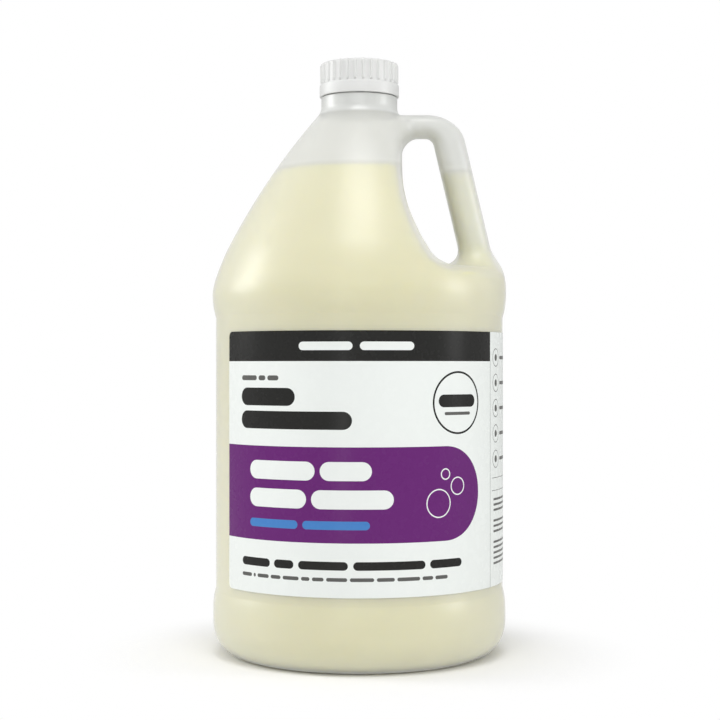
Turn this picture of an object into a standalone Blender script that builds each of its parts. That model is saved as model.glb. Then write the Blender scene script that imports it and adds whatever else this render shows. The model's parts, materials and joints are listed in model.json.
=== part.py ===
"""One-gallon hand soap refill jug: a blow-moulded bottle with a hollow handle, its soap, cap, liner and label.

Metres, +Z up. The jug stands on z = 0 with its axis on Z, the label faces -Y and the handle is on +X.
"""

import math

import bmesh
import bpy
import numpy as np
from mathutils import Vector, geometry

# Turned body, bottom to top
FOOT_RADIUS = 0.0629
FOOT_WIDTH = 0.0051
PUSH_UP = 0.0051
PUSH_UP_SLOPE = 0.0061
HEEL_HEIGHT = 0.0183
BASE_RING_PROUD = 0.0015
BASE_RING_LIFT = 0.0054
PANEL_RADIUS = 0.0752
PANEL_HEIGHT = 0.1405
SHOULDER_RING_PROUD = 0.0018
RING_ROUND = 0.0406
BREAK_LIFT = 0.0103
BREAK_ROUND = 0.0030
CONE_HEIGHT = 0.0834
CONE_TOP_STEP = 0.0023
CONE_BULGE = 0.0035
COLLAR_STEP = 0.00245
COLLAR_HEIGHT = 0.0103
COLLAR_FILLET = 0.0018

# Screw neck
FINISH_RADIUS = 0.01755
FINISH_HEIGHT = 0.0147
NECK_WALL = 0.0022
NECK_EDGE = 0.0005
THREAD_PITCH = 0.004233
THREAD_DEPTH = 0.0012
THREAD_FOOT = 0.0022
THREAD_CREST = 0.0010
THREAD_TURNS = 1.5
THREAD_DROP = 0.0026
CAP_THREAD_TURNS = 1.25

# Walls and clearances
WALL = 0.0011
PINCH_WALL = 0.0022
PINCH_REACH = 0.007
CLEARANCE = 0.0003
THREAD_CLEARANCE = 0.00035

# Hand pocket, cut straight through from front to back
POCKET_STANDOFF = 0.0010
POCKET_CURVE = 0.0188
POCKET_CURVE_POWER = 2.3
POCKET_TOP_DROP = 0.0237
POCKET_BOW = 0.0015
POCKET_BOW_REACH = 0.030
POCKET_FLOOR_LIFT = 0.0028
POCKET_FLOOR_CROWN = 0.0032
POCKET_FLOOR_ROUND = 0.006
POCKET_EDGE_ROUND = 0.005

# Hollow handle across the pocket
HANDLE_TOP_DROP = 0.0049
HANDLE_FOOT_INSET = 0.0123
HANDLE_LEAN = 0.0180
HANDLE_BEND_RADIUS = 0.0128
HANDLE_TOP_HALF = 0.0060
HANDLE_GRIP_HALF = 0.0082
HANDLE_HALF_DEPTH = 0.0110
HANDLE_SQUARENESS = 2.3
HANDLE_TOP_FILLET = 0.009
HANDLE_CREST_FILLET = 0.002
HANDLE_FOOT_FILLET = 0.0100
HANDLE_ROOT_OVERLAP = 0.003

# Soap
FILL_DROP = 0.0295

# Cap and liner
CAP_TOP_THICKNESS = 0.0016
CAP_BAND_PROUD = 0.0003
CAP_BAND_HEIGHT = 0.0057
CAP_STEP = 0.0009
CAP_WALL = 0.0015
CAP_RIB_DEPTH = 0.0006
CAP_RIB_COUNT = 30
CAP_RIB_SHARE = 0.6
CAP_ROUND = 0.0013
CAP_EDGE = 0.0004
LINER_THICKNESS = 0.0010

# Label, with lengths along the panel from its front centre and heights above its lower edge
LABEL_LIFT = 0.0039
LABEL_TOP_DROP = 0.0079
LABEL_THICKNESS = 0.0003
LABEL_LEFT = -0.0791
LABEL_SEAM = 0.0801
LABEL_RIGHT = 0.1917
LABEL_CORNER = 0.0028
BAND_HEIGHT = 0.0148
RING_RADIUS = 0.0155
RING_STROKE = 0.0010
BUBBLE_STROKE = 0.0007
LABEL_COLUMN = 0.0095

# Inks of the label, by material slot
PAPER, INK, BLOCK, ACCENT = range(4)

# Facets
COLUMNS = 18
POCKET_COLUMNS = 4
FACE_ROWS = 4
HANDLE_SECTIONS = 7
HEEL_STEPS = 4
RING_STEPS = 2
THREAD_STEPS = 30
LINER_STEPS = 36
CURVE_STEPS = 10

# Rows of the handle zone's cage, from the break up to the pocket's back wall
ROW_STEP = 0.0055

# Heights and radii worked out from the sizes above
BASE_RING_RADIUS = PANEL_RADIUS + BASE_RING_PROUD
SHOULDER_RING_RADIUS = PANEL_RADIUS + SHOULDER_RING_PROUD
COLLAR_RADIUS = FINISH_RADIUS + COLLAR_STEP
CONE_TOP_RADIUS = COLLAR_RADIUS + CONE_TOP_STEP
BASE_RING_Z = HEEL_HEIGHT + BASE_RING_LIFT
PANEL_BOTTOM = BASE_RING_Z + math.sqrt(RING_ROUND**2 - (RING_ROUND + PANEL_RADIUS - BASE_RING_RADIUS) ** 2)
PANEL_TOP = PANEL_BOTTOM + PANEL_HEIGHT
RING_RISE = math.sqrt(RING_ROUND**2 - (RING_ROUND + PANEL_RADIUS - SHOULDER_RING_RADIUS) ** 2)
SHOULDER_RING_Z = PANEL_TOP + RING_RISE
BREAK_Z = SHOULDER_RING_Z + BREAK_LIFT
BREAK_RADIUS = SHOULDER_RING_RADIUS - RING_ROUND + math.sqrt(RING_ROUND**2 - BREAK_LIFT**2)
CONE_TOP = BREAK_Z + CONE_HEIGHT
COLLAR_TOP = CONE_TOP + COLLAR_HEIGHT
NECK_TOP = COLLAR_TOP + FINISH_HEIGHT
BORE_RADIUS = FINISH_RADIUS - NECK_WALL
POCKET_FLOOR = BREAK_Z + POCKET_FLOOR_LIFT
POCKET_TOP = CONE_TOP - POCKET_TOP_DROP
POCKET_FACE_X = COLLAR_RADIUS + POCKET_STANDOFF
POCKET_DEPTH = BREAK_RADIUS - POCKET_FACE_X
HANDLE_TOP_Z = CONE_TOP - HANDLE_TOP_DROP
HANDLE_FOOT_X = BREAK_RADIUS - HANDLE_FOOT_INSET
HANDLE_BEND_X = HANDLE_FOOT_X - HANDLE_LEAN
FILL_HEIGHT = CONE_TOP - FILL_DROP
BLEND_BOTTOM = SHOULDER_RING_Z
BLEND_TOP = CONE_TOP + 0.5 * COLLAR_HEIGHT
CAP_BORE_RADIUS = FINISH_RADIUS + THREAD_DEPTH + THREAD_CLEARANCE
CAP_RIB_RADIUS = CAP_BORE_RADIUS + CAP_WALL
CAP_BAND_RADIUS = CAP_RIB_RADIUS + CAP_BAND_PROUD
CAP_BOTTOM = COLLAR_TOP + CLEARANCE
LINER_BOTTOM = NECK_TOP + CLEARANCE
CAP_CEILING = LINER_BOTTOM + LINER_THICKNESS + CLEARANCE
CAP_TOP = CAP_CEILING + CAP_TOP_THICKNESS
LABEL_BOTTOM = PANEL_BOTTOM + LABEL_LIFT
LABEL_HEIGHT = PANEL_HEIGHT - LABEL_LIFT - LABEL_TOP_DROP


def clear_scene():
    for obj in list(bpy.data.objects):
        bpy.data.objects.remove(obj, do_unlink=True)


def material(name, colour, roughness, transmission=0.0):
    made = bpy.data.materials.new(name)
    made.use_nodes = True
    made.diffuse_color = (*colour, 1.0)
    shader = made.node_tree.nodes["Principled BSDF"]
    shader.inputs["Base Color"].default_value = (*colour, 1.0)
    shader.inputs["Roughness"].default_value = roughness
    shader.inputs["Metallic"].default_value = 0.0
    shader.inputs["Transmission Weight"].default_value = transmission
    return made


def add_object(name, bm, materials, location=(0, 0, 0), smooth_angle=35):
    bmesh.ops.recalc_face_normals(bm, faces=bm.faces[:])
    mesh = bpy.data.meshes.new(name)
    bm.to_mesh(mesh)
    bm.free()
    mesh.shade_smooth()
    mesh.set_sharp_from_angle(angle=math.radians(smooth_angle))
    for each in materials:
        mesh.materials.append(each)
    obj = bpy.data.objects.new(name, mesh)
    obj.location = location
    bpy.context.scene.collection.objects.link(obj)
    return obj


# Distances to the outside of the jug: positive outside, negative in the wall and the hollow


def joined(a, b, fillet):
    """Distance to the union of two forms, with a round fillet in the corner between them."""
    inner = np.hypot(np.maximum(fillet - a, 0), np.maximum(fillet - b, 0))
    return np.maximum(fillet, np.minimum(a, b)) - inner


def trimmed(a, b, rounding):
    """Distance to what two forms share, with a round edge where their surfaces cross."""
    return -joined(-a, -b, rounding)


def smooth_step(value):
    value = np.clip(value, 0, 1)
    return value * value * (3 - 2 * value)


def ring_distance(radius, z):
    """The shoulder ring is a round bulge, carried on by its tangent above the break."""
    out = radius - SHOULDER_RING_RADIUS + RING_ROUND
    rise = z - SHOULDER_RING_Z
    level = math.sqrt(RING_ROUND**2 - BREAK_LIFT**2)
    tangent = (out * level + rise * BREAK_LIFT) / RING_ROUND
    return np.where(rise > BREAK_LIFT, tangent, np.hypot(out, rise)) - RING_ROUND


def cone_distance(radius, z):
    """The cone's outline is one long arc that bulges outward from the chord between its ends."""
    run = BREAK_RADIUS - CONE_TOP_RADIUS
    chord = math.hypot(run, CONE_HEIGHT)
    arc = (chord**2 / 4 + CONE_BULGE**2) / (2 * CONE_BULGE)
    reach = (arc - CONE_BULGE) / chord
    centre_radius = (BREAK_RADIUS + CONE_TOP_RADIUS) / 2 - reach * CONE_HEIGHT
    centre_z = BREAK_Z + CONE_HEIGHT / 2 - reach * run
    return np.hypot(radius - centre_radius, z - centre_z) - arc


def pocket_face(z):
    """X of the pocket's back wall, which is upright at the top and sweeps outward to the floor."""
    depth = np.clip((POCKET_TOP - z) / (POCKET_TOP - POCKET_FLOOR), 0, 1.1)
    slope = POCKET_CURVE * POCKET_CURVE_POWER * depth ** (POCKET_CURVE_POWER - 1) / (POCKET_TOP - POCKET_FLOOR)
    return POCKET_FACE_X + POCKET_CURVE * depth**POCKET_CURVE_POWER, slope


def pocket_distance(x, y, z):
    face, slope = pocket_face(z)
    middle = np.maximum(1 - (y / POCKET_BOW_REACH) ** 2, 0)
    back_wall = (x - face - POCKET_BOW * middle) / np.sqrt(1 + slope**2)
    floor = z - POCKET_FLOOR - POCKET_FLOOR_CROWN * middle**2
    return joined(back_wall, floor, POCKET_FLOOR_ROUND)


def handle_line():
    """Centre line of the handle in x and z, from inside the neck, round the bend and down to the floor."""
    run = HANDLE_FOOT_X - HANDLE_BEND_X
    fall = HANDLE_TOP_Z - POCKET_FLOOR
    turn = math.atan2(fall, run)
    tangent = HANDLE_BEND_RADIUS * math.tan(turn / 2)
    centre = np.array([HANDLE_BEND_X - tangent, HANDLE_TOP_Z - HANDLE_BEND_RADIUS])
    bend = np.linspace(0, turn, CURVE_STEPS)
    arc = centre + HANDLE_BEND_RADIUS * np.column_stack([np.sin(bend), np.cos(bend)])
    down = np.array([run, -fall]) / math.hypot(run, fall)
    foot = np.array([HANDLE_FOOT_X, POCKET_FLOOR]) + HANDLE_ROOT_OVERLAP * down
    return np.vstack([[COLLAR_RADIUS / 2, HANDLE_TOP_Z], arc, foot])


def nearest_on_line(line, x, z):
    """Distance from each point to the line, and how far along the line its nearest point lies."""
    start = line[:-1]
    step = line[1:] - start
    length = np.linalg.norm(step, axis=1)
    reached = np.concatenate([[0], np.cumsum(length)[:-1]])
    point = np.column_stack([x, z])[:, None, :]
    share = ((point - start) * step).sum(axis=2) / length**2
    share = np.clip(share, 0, 1)
    gap = np.linalg.norm(point - start - share[..., None] * step, axis=2)
    best = gap.argmin(axis=1)
    row = np.arange(len(best))
    return gap[row, best], reached[best] + share[row, best] * length[best]


def handle_half(along):
    """Half of the handle's width in the x-z plane: slim along the top, fuller at the grip."""
    run = HANDLE_FOOT_X - HANDLE_BEND_X
    turn = math.atan2(HANDLE_TOP_Z - POCKET_FLOOR, run)
    straight = HANDLE_BEND_X - COLLAR_RADIUS / 2 - HANDLE_BEND_RADIUS * math.tan(turn / 2)
    share = (along - straight) / (HANDLE_BEND_RADIUS * turn)
    return HANDLE_TOP_HALF + (HANDLE_GRIP_HALF - HANDLE_TOP_HALF) * smooth_step(share)


def handle_distance(x, y, z):
    gap, along = nearest_on_line(handle_line(), x, z)
    half = handle_half(along)
    power = HANDLE_SQUARENESS
    share = ((gap / half) ** power + (np.abs(y) / HANDLE_HALF_DEPTH) ** power) ** (1 / power)
    return (share - 1) * np.minimum(half, HANDLE_HALF_DEPTH)


def jug_distance(points):
    x, y, z = points.T
    radius = np.hypot(x, y)
    body = trimmed(ring_distance(radius, z), cone_distance(radius, z), BREAK_ROUND)
    body = trimmed(body, pocket_distance(x, y, z), POCKET_EDGE_ROUND)
    collar = np.maximum(radius - COLLAR_RADIUS, CONE_TOP - COLLAR_HEIGHT - z)
    body = joined(body, collar, COLLAR_FILLET)
    rise = smooth_step((z - POCKET_FLOOR) / CONE_HEIGHT)
    fillet = HANDLE_FOOT_FILLET + (HANDLE_TOP_FILLET - HANDLE_FOOT_FILLET) * rise
    above = smooth_step((z - HANDLE_TOP_Z) / HANDLE_TOP_HALF)
    fillet = fillet + (HANDLE_CREST_FILLET - fillet) * above
    return joined(body, handle_distance(x, y, z), fillet)


def jug_slope(points, step=1e-5):
    slope = np.empty_like(points)
    for axis in range(3):
        ahead = points.copy()
        behind = points.copy()
        ahead[:, axis] += step
        behind[:, axis] -= step
        slope[:, axis] = (jug_distance(ahead) - jug_distance(behind)) / (2 * step)
    return slope


def settled(points, depth, fixed, rounds=14, most=0.003):
    """The points moved along the slope until they lie at their depth below the outside of the jug."""
    points = points.copy()
    free = ~fixed
    for _ in range(rounds):
        slope = jug_slope(points[free])
        size = np.maximum(np.linalg.norm(slope, axis=1), 0.2)
        move = np.clip(jug_distance(points[free]) / size + depth[free], -most, most)
        points[free] -= slope * (move / size)[:, None]
    return points


def wall_depth(points):
    """Wall thickness: thicker where the mould pinched the pocket shut, and at the neck."""
    x, y, z = points.T
    pinch = smooth_step(1 - np.abs(pocket_distance(x, y, z)) / PINCH_REACH)
    pinch = pinch * smooth_step((np.hypot(x, y) - COLLAR_RADIUS) / COLLAR_RADIUS + 1)
    wall = WALL + (PINCH_WALL - WALL) * pinch
    high = smooth_step((z - CONE_TOP + COLLAR_HEIGHT) / COLLAR_HEIGHT)
    near = smooth_step(2 - np.hypot(x, y) / COLLAR_RADIUS)
    return np.maximum(wall, WALL + (NECK_WALL - WALL) * high * near)


# Coarse cage of the handle zone: rows from the shoulder ring to the collar, columns round the axis


def column_angles(middle_x):
    """Angles of the columns at +Y. The first clears the handle's side, and two straddle the pocket's edge."""
    half = COLUMNS // 2
    corner = math.acos(POCKET_FACE_X / (POCKET_FACE_X + 0.5 * POCKET_DEPTH))
    first = math.atan2(1.1 * HANDLE_HALF_DEPTH, middle_x)
    spread = 0.1
    angles = [0, first, (first + corner - spread) / 2, corner - spread, corner + spread]
    rest = half - POCKET_COLUMNS
    last = angles[-1]
    return angles + [last + (math.pi - last) * step / rest for step in range(1, rest + 1)]


def row_plan():
    """For each row: its height on the plain side, and its x and z in the plane of the handle."""
    face_low = POCKET_FLOOR + 2 * ROW_STEP
    plain_low = BREAK_Z + 3.5 * ROW_STEP
    root_low = HANDLE_TOP_Z - 1.25 * HANDLE_TOP_HALF
    inner_x = pocket_face(POCKET_FLOOR)[0] + 1.2 * POCKET_FLOOR_ROUND
    rows = [
        (BREAK_Z, BREAK_RADIUS - 0.5 * POCKET_EDGE_ROUND, POCKET_FLOOR - 0.2 * POCKET_EDGE_ROUND),
        (BREAK_Z + ROW_STEP, HANDLE_FOOT_X, POCKET_FLOOR),
        (BREAK_Z + 2 * ROW_STEP, inner_x, POCKET_FLOOR),
    ]
    for step in range(FACE_ROWS):
        share = step / FACE_ROWS
        plain = plain_low + share * (root_low - plain_low)
        middle = face_low + share * (root_low - face_low)
        rows.append((plain, pocket_face(middle)[0], middle))
    rows.append((root_low, POCKET_FACE_X, root_low))
    rows.append((HANDLE_TOP_Z, POCKET_FACE_X + COLLAR_FILLET, HANDLE_TOP_Z))
    top = CONE_TOP + 0.1 * COLLAR_HEIGHT
    rows.append((top, COLLAR_RADIUS, top))
    return rows


def cage_point(row, angle, corner):
    """A starting point near the surface, for one row at one angle."""
    plain_z, middle_x, middle_z = row
    share = min(angle / corner, 1)
    on_floor = middle_x > pocket_face(POCKET_FLOOR)[0]
    z = middle_z + (plain_z - middle_z) * share**2
    radius = plain_radius(z)
    if on_floor:
        radius = middle_x + (radius - middle_x) * share**2
    elif angle < 0.45 * math.pi:
        radius = min(radius, pocket_face(z)[0] / math.cos(angle))
    return radius, z


def plain_radius(z):
    """Radius of the turned body at a height of the cone, found along a level line."""
    low, high = 0.5 * COLLAR_RADIUS, SHOULDER_RING_RADIUS
    for _ in range(40):
        middle = (low + high) / 2
        inside = max(ring_distance(middle, z), cone_distance(middle, z)) < 0
        low, high = (middle, high) if inside else (low, middle)
    return max(low, COLLAR_RADIUS)


def cage_rows(bm):
    """Rows of cage vertices, each a list round the axis from the handle's plane through +Y."""
    half = COLUMNS // 2
    even = [math.pi * step / half for step in range(half + 1)]
    corner = column_angles(POCKET_FACE_X)[POCKET_COLUMNS]
    plans = [(None, even, BLEND_BOTTOM)]
    plans += [(row, column_angles(row[1]), None) for row in row_plan()]
    plans.append((None, even, BLEND_TOP))
    made = []
    for row, angles, level in plans:
        both = angles + [-angle for angle in reversed(angles[1:-1])]
        ring = []
        for angle in both:
            if row is None:
                radius, z = plain_radius(level), level
            else:
                radius, z = cage_point(row, abs(angle), corner)
            ring.append(bm.verts.new((radius * math.cos(angle), radius * math.sin(angle), z)))
        made.append(ring)
    return made


def root_loop(rows, low, high):
    """The eight vertices round a root of the handle, from its outer side round through +Y."""
    middle = (low + high) // 2
    outer, inner = (low, high) if low < FACE_ROWS else (high, low)
    order = [(outer, 0), (outer, 1), (middle, 1), (inner, 1), (inner, 0), (inner, -1), (middle, -1), (outer, -1)]
    return [rows[row][column] for row, column in order]


def handle_rings(bm):
    """Eight-sided sections of the handle, from the foot up and round the bend to the neck."""
    line = handle_line()[::-1]
    step = np.diff(line, axis=0)
    reached = np.concatenate([[0], np.cumsum(np.linalg.norm(step, axis=1))])
    first = HANDLE_ROOT_OVERLAP + 1.6 * HANDLE_FOOT_FILLET
    last = reached[-1] - (POCKET_FACE_X + HANDLE_TOP_FILLET - COLLAR_RADIUS / 2)
    rings = []
    for place in np.linspace(first, last, HANDLE_SECTIONS):
        part = min(int(np.searchsorted(reached, place, side="right")) - 1, len(step) - 1)
        along = step[part] / np.linalg.norm(step[part])
        centre = line[part] + along * (place - reached[part])
        outward = np.array([along[1], -along[0]])
        half = float(handle_half(reached[-1] - place))
        ring = []
        for side in range(8):
            turn = side * math.pi / 4
            x, z = centre + outward * half * math.cos(turn)
            ring.append(bm.verts.new((x, HANDLE_HALF_DEPTH * math.sin(turn), z)))
        rings.append(ring)
    return rings


def handle_cage():
    """Quads of the handle zone: a holed sleeve round the axis, and the handle's tube from hole to hole."""
    bm = bmesh.new()
    rows = cage_rows(bm)
    top = len(rows) - 2
    roots = [(1, 3), (top - 2, top)]
    for low in range(len(rows) - 1):
        for column in range(COLUMNS):
            beside = (column + 1) % COLUMNS
            at_root = any(first <= low < last for first, last in roots) and column in (0, COLUMNS - 1)
            if not at_root:
                bm.faces.new([rows[low][column], rows[low][beside], rows[low + 1][beside], rows[low + 1][column]])
    rings = [root_loop(rows, *roots[0]), *handle_rings(bm), root_loop(rows, *roots[1])]
    for below, above in zip(rings, rings[1:]):
        for side in range(8):
            beside = (side + 1) % 8
            bm.faces.new([below[side], below[beside], above[beside], above[side]])
    for first, last in roots:
        bm.verts.remove(rows[(first + last) // 2][0])
    bmesh.ops.subdivide_edges(bm, edges=bm.edges[:], cuts=1, use_grid_fill=True)
    bm.verts.index_update()
    return bm


def evened(points, edges, fixed):
    """The points moved halfway to the middle of their neighbours."""
    total = np.zeros_like(points)
    count = np.zeros(len(points))
    for here, there in (edges.T, edges[:, ::-1].T):
        np.add.at(total, here, points[there])
        np.add.at(count, here, 1)
    middle = total / count[:, None]
    return np.where(fixed[:, None], points, (points + middle) / 2)


def handle_zone():
    """Outer points, faces and the two border loops of the fine mesh of the handle zone."""
    bm = handle_cage()
    points = np.array([vert.co for vert in bm.verts])
    edges = np.array([[vert.index for vert in edge.verts] for edge in bm.edges])
    faces = [[vert.index for vert in face.verts] for face in bm.faces]
    fixed = np.array([any(edge.is_boundary for edge in vert.link_edges) for vert in bm.verts])
    bm.free()
    loops = []
    for level in (BLEND_BOTTOM, BLEND_TOP):
        on_loop = np.flatnonzero(fixed & (np.abs(points[:, 2] - level) < 1e-5))
        angle = np.arctan2(points[on_loop, 1], points[on_loop, 0])
        radius = plain_radius(level)
        points[on_loop, 0] = radius * np.cos(angle)
        points[on_loop, 1] = radius * np.sin(angle)
        loops.append(on_loop[np.argsort(angle)])
    surface = np.zeros(len(points))
    points = settled(points, surface, fixed)
    for _ in range(4):
        points = settled(evened(points, edges, fixed), surface, fixed, rounds=6)
    return points, faces, loops, fixed


# Turned outline below the handle zone


def ring_arc(ring_radius, middle, low, high):
    heights = np.linspace(low, high, RING_STEPS + 1)
    radii = ring_radius - RING_ROUND + np.sqrt(RING_ROUND**2 - (heights - middle) ** 2)
    return list(zip(radii, heights))


def outline():
    """Radius and height from the middle of the base up to the handle zone."""
    foot_inner = FOOT_RADIUS - FOOT_WIDTH
    points = [(0, PUSH_UP), (foot_inner - PUSH_UP_SLOPE, PUSH_UP), (foot_inner, 0)]
    for step in range(HEEL_STEPS + 1):
        turn = step / HEEL_STEPS * math.pi / 2
        reach = (BASE_RING_RADIUS - FOOT_RADIUS) * math.sin(turn)
        points.append((FOOT_RADIUS + reach, HEEL_HEIGHT * (1 - math.cos(turn))))
    points += ring_arc(BASE_RING_RADIUS, BASE_RING_Z, BASE_RING_Z, PANEL_BOTTOM)
    points += ring_arc(SHOULDER_RING_RADIUS, SHOULDER_RING_Z, PANEL_TOP, BLEND_BOTTOM)
    return np.array(points)


def inset(points, depth):
    """The outline moved inward by an even depth, square to each of its runs."""
    beyond = 2 * points[-1] - points[-2]
    run = np.diff(np.vstack([points, beyond]), axis=0)
    inward = np.column_stack([-run[:, 1], run[:, 0]]) / np.linalg.norm(run, axis=1)[:, None]
    before = np.vstack([inward[:1], inward[:-1]])
    mitre = (before + inward) / (1 + (before * inward).sum(axis=1))[:, None]
    moved = points + depth * mitre
    moved[0, 0] = 0
    return moved


def add_ring(bm, radius, z, angles):
    return [bm.verts.new((radius * math.cos(angle), radius * math.sin(angle), z)) for angle in angles]


def bridge(bm, below, above):
    count = len(below)
    made = []
    for here in range(count):
        beside = (here + 1) % count
        made.append(bm.faces.new([below[here], below[beside], above[beside], above[here]]))
    return made


def add_skin(bm, zone, extra):
    """One closed-bottomed skin of the jug, at the wall's depth plus extra, or outside where extra is None.

    It returns the skin's top loop and the angles of its columns.
    """
    outer, faces, loops, fixed = zone
    points = outer
    depth = np.zeros(len(outer)) if extra is None else wall_depth(outer) + extra
    turned = outline()
    if extra is not None:
        turned = inset(turned, WALL + extra)
        points = outer.copy()
        low, high = loops
        shrink = np.ones(len(outer))
        shrink[low] = turned[-1, 0] / plain_radius(BLEND_BOTTOM)
        shrink[high] = (COLLAR_RADIUS - NECK_WALL - extra) / COLLAR_RADIUS
        points[:, :2] *= shrink[:, None]
        points[low, 2] = turned[-1, 1]
        points = settled(points, depth, fixed)
    verts = [bm.verts.new(point) for point in points]
    for face in faces:
        bm.faces.new([verts[index] for index in face])
    low_loop = [verts[index] for index in loops[0]]
    angles = [math.atan2(vert.co.y, vert.co.x) for vert in low_loop]
    rings = [add_ring(bm, radius, z, angles) for radius, z in turned[1:-1]]
    for below, above in zip(rings, rings[1:] + [low_loop]):
        bridge(bm, below, above)
    bm.faces.new(rings[0])
    return [verts[index] for index in loops[1]], angles


# Pieces


def thread_ridge(name, root_radius, crest_radius, low_z, turns):
    """A helical ridge with a trapezium section and ends that fade into its wall, to be united with that wall."""
    sunk = math.copysign(0.0004, root_radius - crest_radius)
    count = round(THREAD_STEPS * turns)
    fade = THREAD_STEPS / 12
    bm = bmesh.new()
    sections = []
    for step in range(count + 1):
        angle = 2 * math.pi * step / THREAD_STEPS
        z = low_z + THREAD_PITCH * step / THREAD_STEPS
        height = min(1, step / fade, (count - step) / fade)
        crest = root_radius + sunk / 2 + (crest_radius - root_radius - sunk / 2) * height
        section = []
        for radius, offset in (
            (root_radius + sunk, -THREAD_FOOT / 2),
            (crest, -THREAD_CREST / 2),
            (crest, THREAD_CREST / 2),
            (root_radius + sunk, THREAD_FOOT / 2),
        ):
            section.append(bm.verts.new((radius * math.cos(angle), radius * math.sin(angle), z + offset)))
        sections.append(section)
    for here, ahead in zip(sections, sections[1:]):
        bridge(bm, here, ahead)
    bm.faces.new(sections[0])
    bm.faces.new(sections[-1])
    ridge = add_object(name, bm, [])
    ridge.hide_render = True
    ridge.display_type = "WIRE"
    return ridge


def unite(obj, other):
    union = obj.modifiers.new("thread", "BOOLEAN")
    union.operation = "UNION"
    union.object = other


def thread_low():
    """Height of the lower end of the neck thread's centre line."""
    return NECK_TOP - THREAD_DROP - THREAD_TURNS * THREAD_PITCH


def make_bottle(zone, plastic):
    bm = bmesh.new()
    outer_loop, angles = add_skin(bm, zone, None)
    inner_loop, _ = add_skin(bm, zone, 0)
    neck = [
        (COLLAR_RADIUS, COLLAR_TOP - NECK_EDGE),
        (COLLAR_RADIUS - NECK_EDGE, COLLAR_TOP),
        (FINISH_RADIUS, COLLAR_TOP),
        (FINISH_RADIUS, NECK_TOP - NECK_EDGE),
        (FINISH_RADIUS - NECK_EDGE, NECK_TOP),
        (BORE_RADIUS + NECK_EDGE, NECK_TOP),
        (BORE_RADIUS, NECK_TOP - NECK_EDGE),
        (BORE_RADIUS, COLLAR_TOP - NECK_WALL),
    ]
    rings = [outer_loop] + [add_ring(bm, radius, z, angles) for radius, z in neck] + [inner_loop]
    for below, above in zip(rings, rings[1:]):
        bridge(bm, below, above)
    bottle = add_object("bottle", bm, [plastic])
    ridge = thread_ridge("neck_thread", FINISH_RADIUS, FINISH_RADIUS + THREAD_DEPTH, thread_low(), THREAD_TURNS)
    unite(bottle, ridge)
    return bottle


def make_soap(zone, liquid):
    """The soap fills the jug and the lower part of the handle up to one level."""
    bm = bmesh.new()
    add_skin(bm, zone, CLEARANCE)
    everything = bm.verts[:] + bm.edges[:] + bm.faces[:]
    level = Vector((0, 0, FILL_HEIGHT))
    bmesh.ops.bisect_plane(bm, geom=everything, plane_co=level, plane_no=(0, 0, 1), clear_outer=True)
    rim = [edge for edge in bm.edges if edge.is_boundary]
    bmesh.ops.edgeloop_fill(bm, edges=rim)
    return add_object("soap", bm, [liquid])


def cap_angles():
    """Two columns to a rib: its two edges."""
    pitch = 2 * math.pi / CAP_RIB_COUNT
    half = CAP_RIB_SHARE * pitch / 2
    return [rib * pitch + side for rib in range(CAP_RIB_COUNT) for side in (-half, half)]


def raise_ribs(bm, faces):
    """Every second face between two columns is a rib: it is pushed out, with its ends drawn in."""
    ribs = bmesh.ops.extrude_discrete_faces(bm, faces=faces)["faces"]
    for rib in ribs:
        middle_z = rib.calc_center_median().z
        for vert in rib.verts:
            radius = math.hypot(vert.co.x, vert.co.y)
            grown = (radius + CAP_RIB_DEPTH) / radius
            inward = math.copysign(CAP_RIB_DEPTH / 2, middle_z - vert.co.z)
            vert.co = (vert.co.x * grown, vert.co.y * grown, vert.co.z + inward)


def make_cap(plastic):
    """A screw cap with a plain band round its skirt, and ribs above the band. Its origin is on its axis."""
    groove = CAP_RIB_RADIUS - CAP_RIB_DEPTH
    height = CAP_TOP - CAP_BOTTOM
    ceiling = CAP_CEILING - CAP_BOTTOM
    angles = cap_angles()
    bm = bmesh.new()
    outside = [
        (CAP_BORE_RADIUS + CAP_EDGE, 0),
        (CAP_BAND_RADIUS, 0),
        (CAP_BAND_RADIUS, CAP_BAND_HEIGHT),
        (groove, CAP_BAND_HEIGHT + CAP_STEP),
        (groove, height - CAP_ROUND),
        (groove - 0.3 * CAP_ROUND, height - 0.3 * CAP_ROUND),
        (groove - CAP_ROUND, height),
    ]
    inside = [
        (CAP_BORE_RADIUS, ceiling),
        (CAP_BORE_RADIUS, CAP_EDGE),
    ]
    rings = [add_ring(bm, radius, z, angles) for radius, z in inside + outside]
    bm.faces.new(rings[0])
    bm.faces.new(rings[-1])
    spans = [bridge(bm, below, above) for below, above in zip(rings, rings[1:])]
    raise_ribs(bm, spans[5][::2])
    bmesh.ops.recalc_face_normals(bm, faces=bm.faces[:])
    cap = add_object("cap", bm, [plastic], location=(0, 0, CAP_BOTTOM))
    low = thread_low() - THREAD_PITCH / 2
    crest = FINISH_RADIUS + THREAD_CLEARANCE
    unite(cap, thread_ridge("cap_thread", CAP_BORE_RADIUS, crest, low, CAP_THREAD_TURNS))
    return cap


def make_liner(foam):
    """A plain disc that seals the neck's rim."""
    bm = bmesh.new()
    radius = CAP_BORE_RADIUS - CLEARANCE
    bmesh.ops.create_cone(
        bm, cap_ends=True, segments=LINER_STEPS, radius1=radius, radius2=radius, depth=LINER_THICKNESS
    )
    return add_object("cap_liner", bm, [foam], location=(0, 0, LINER_BOTTOM + LINER_THICKNESS / 2))


# Label artwork, drawn flat and wrapped round the panel


def box_outline(left, bottom, right, top):
    return [(left, bottom), (right, bottom), (right, top), (left, top)]


def arc_outline(centre, radius, start, end, steps):
    angles = [start + (end - start) * step / steps for step in range(steps + 1)]
    return [(centre[0] + radius * math.cos(angle), centre[1] + radius * math.sin(angle)) for angle in angles]


def circle_outline(centre, radius, steps=20):
    return arc_outline(centre, radius, 0, 2 * math.pi, steps)[:-1]


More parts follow.
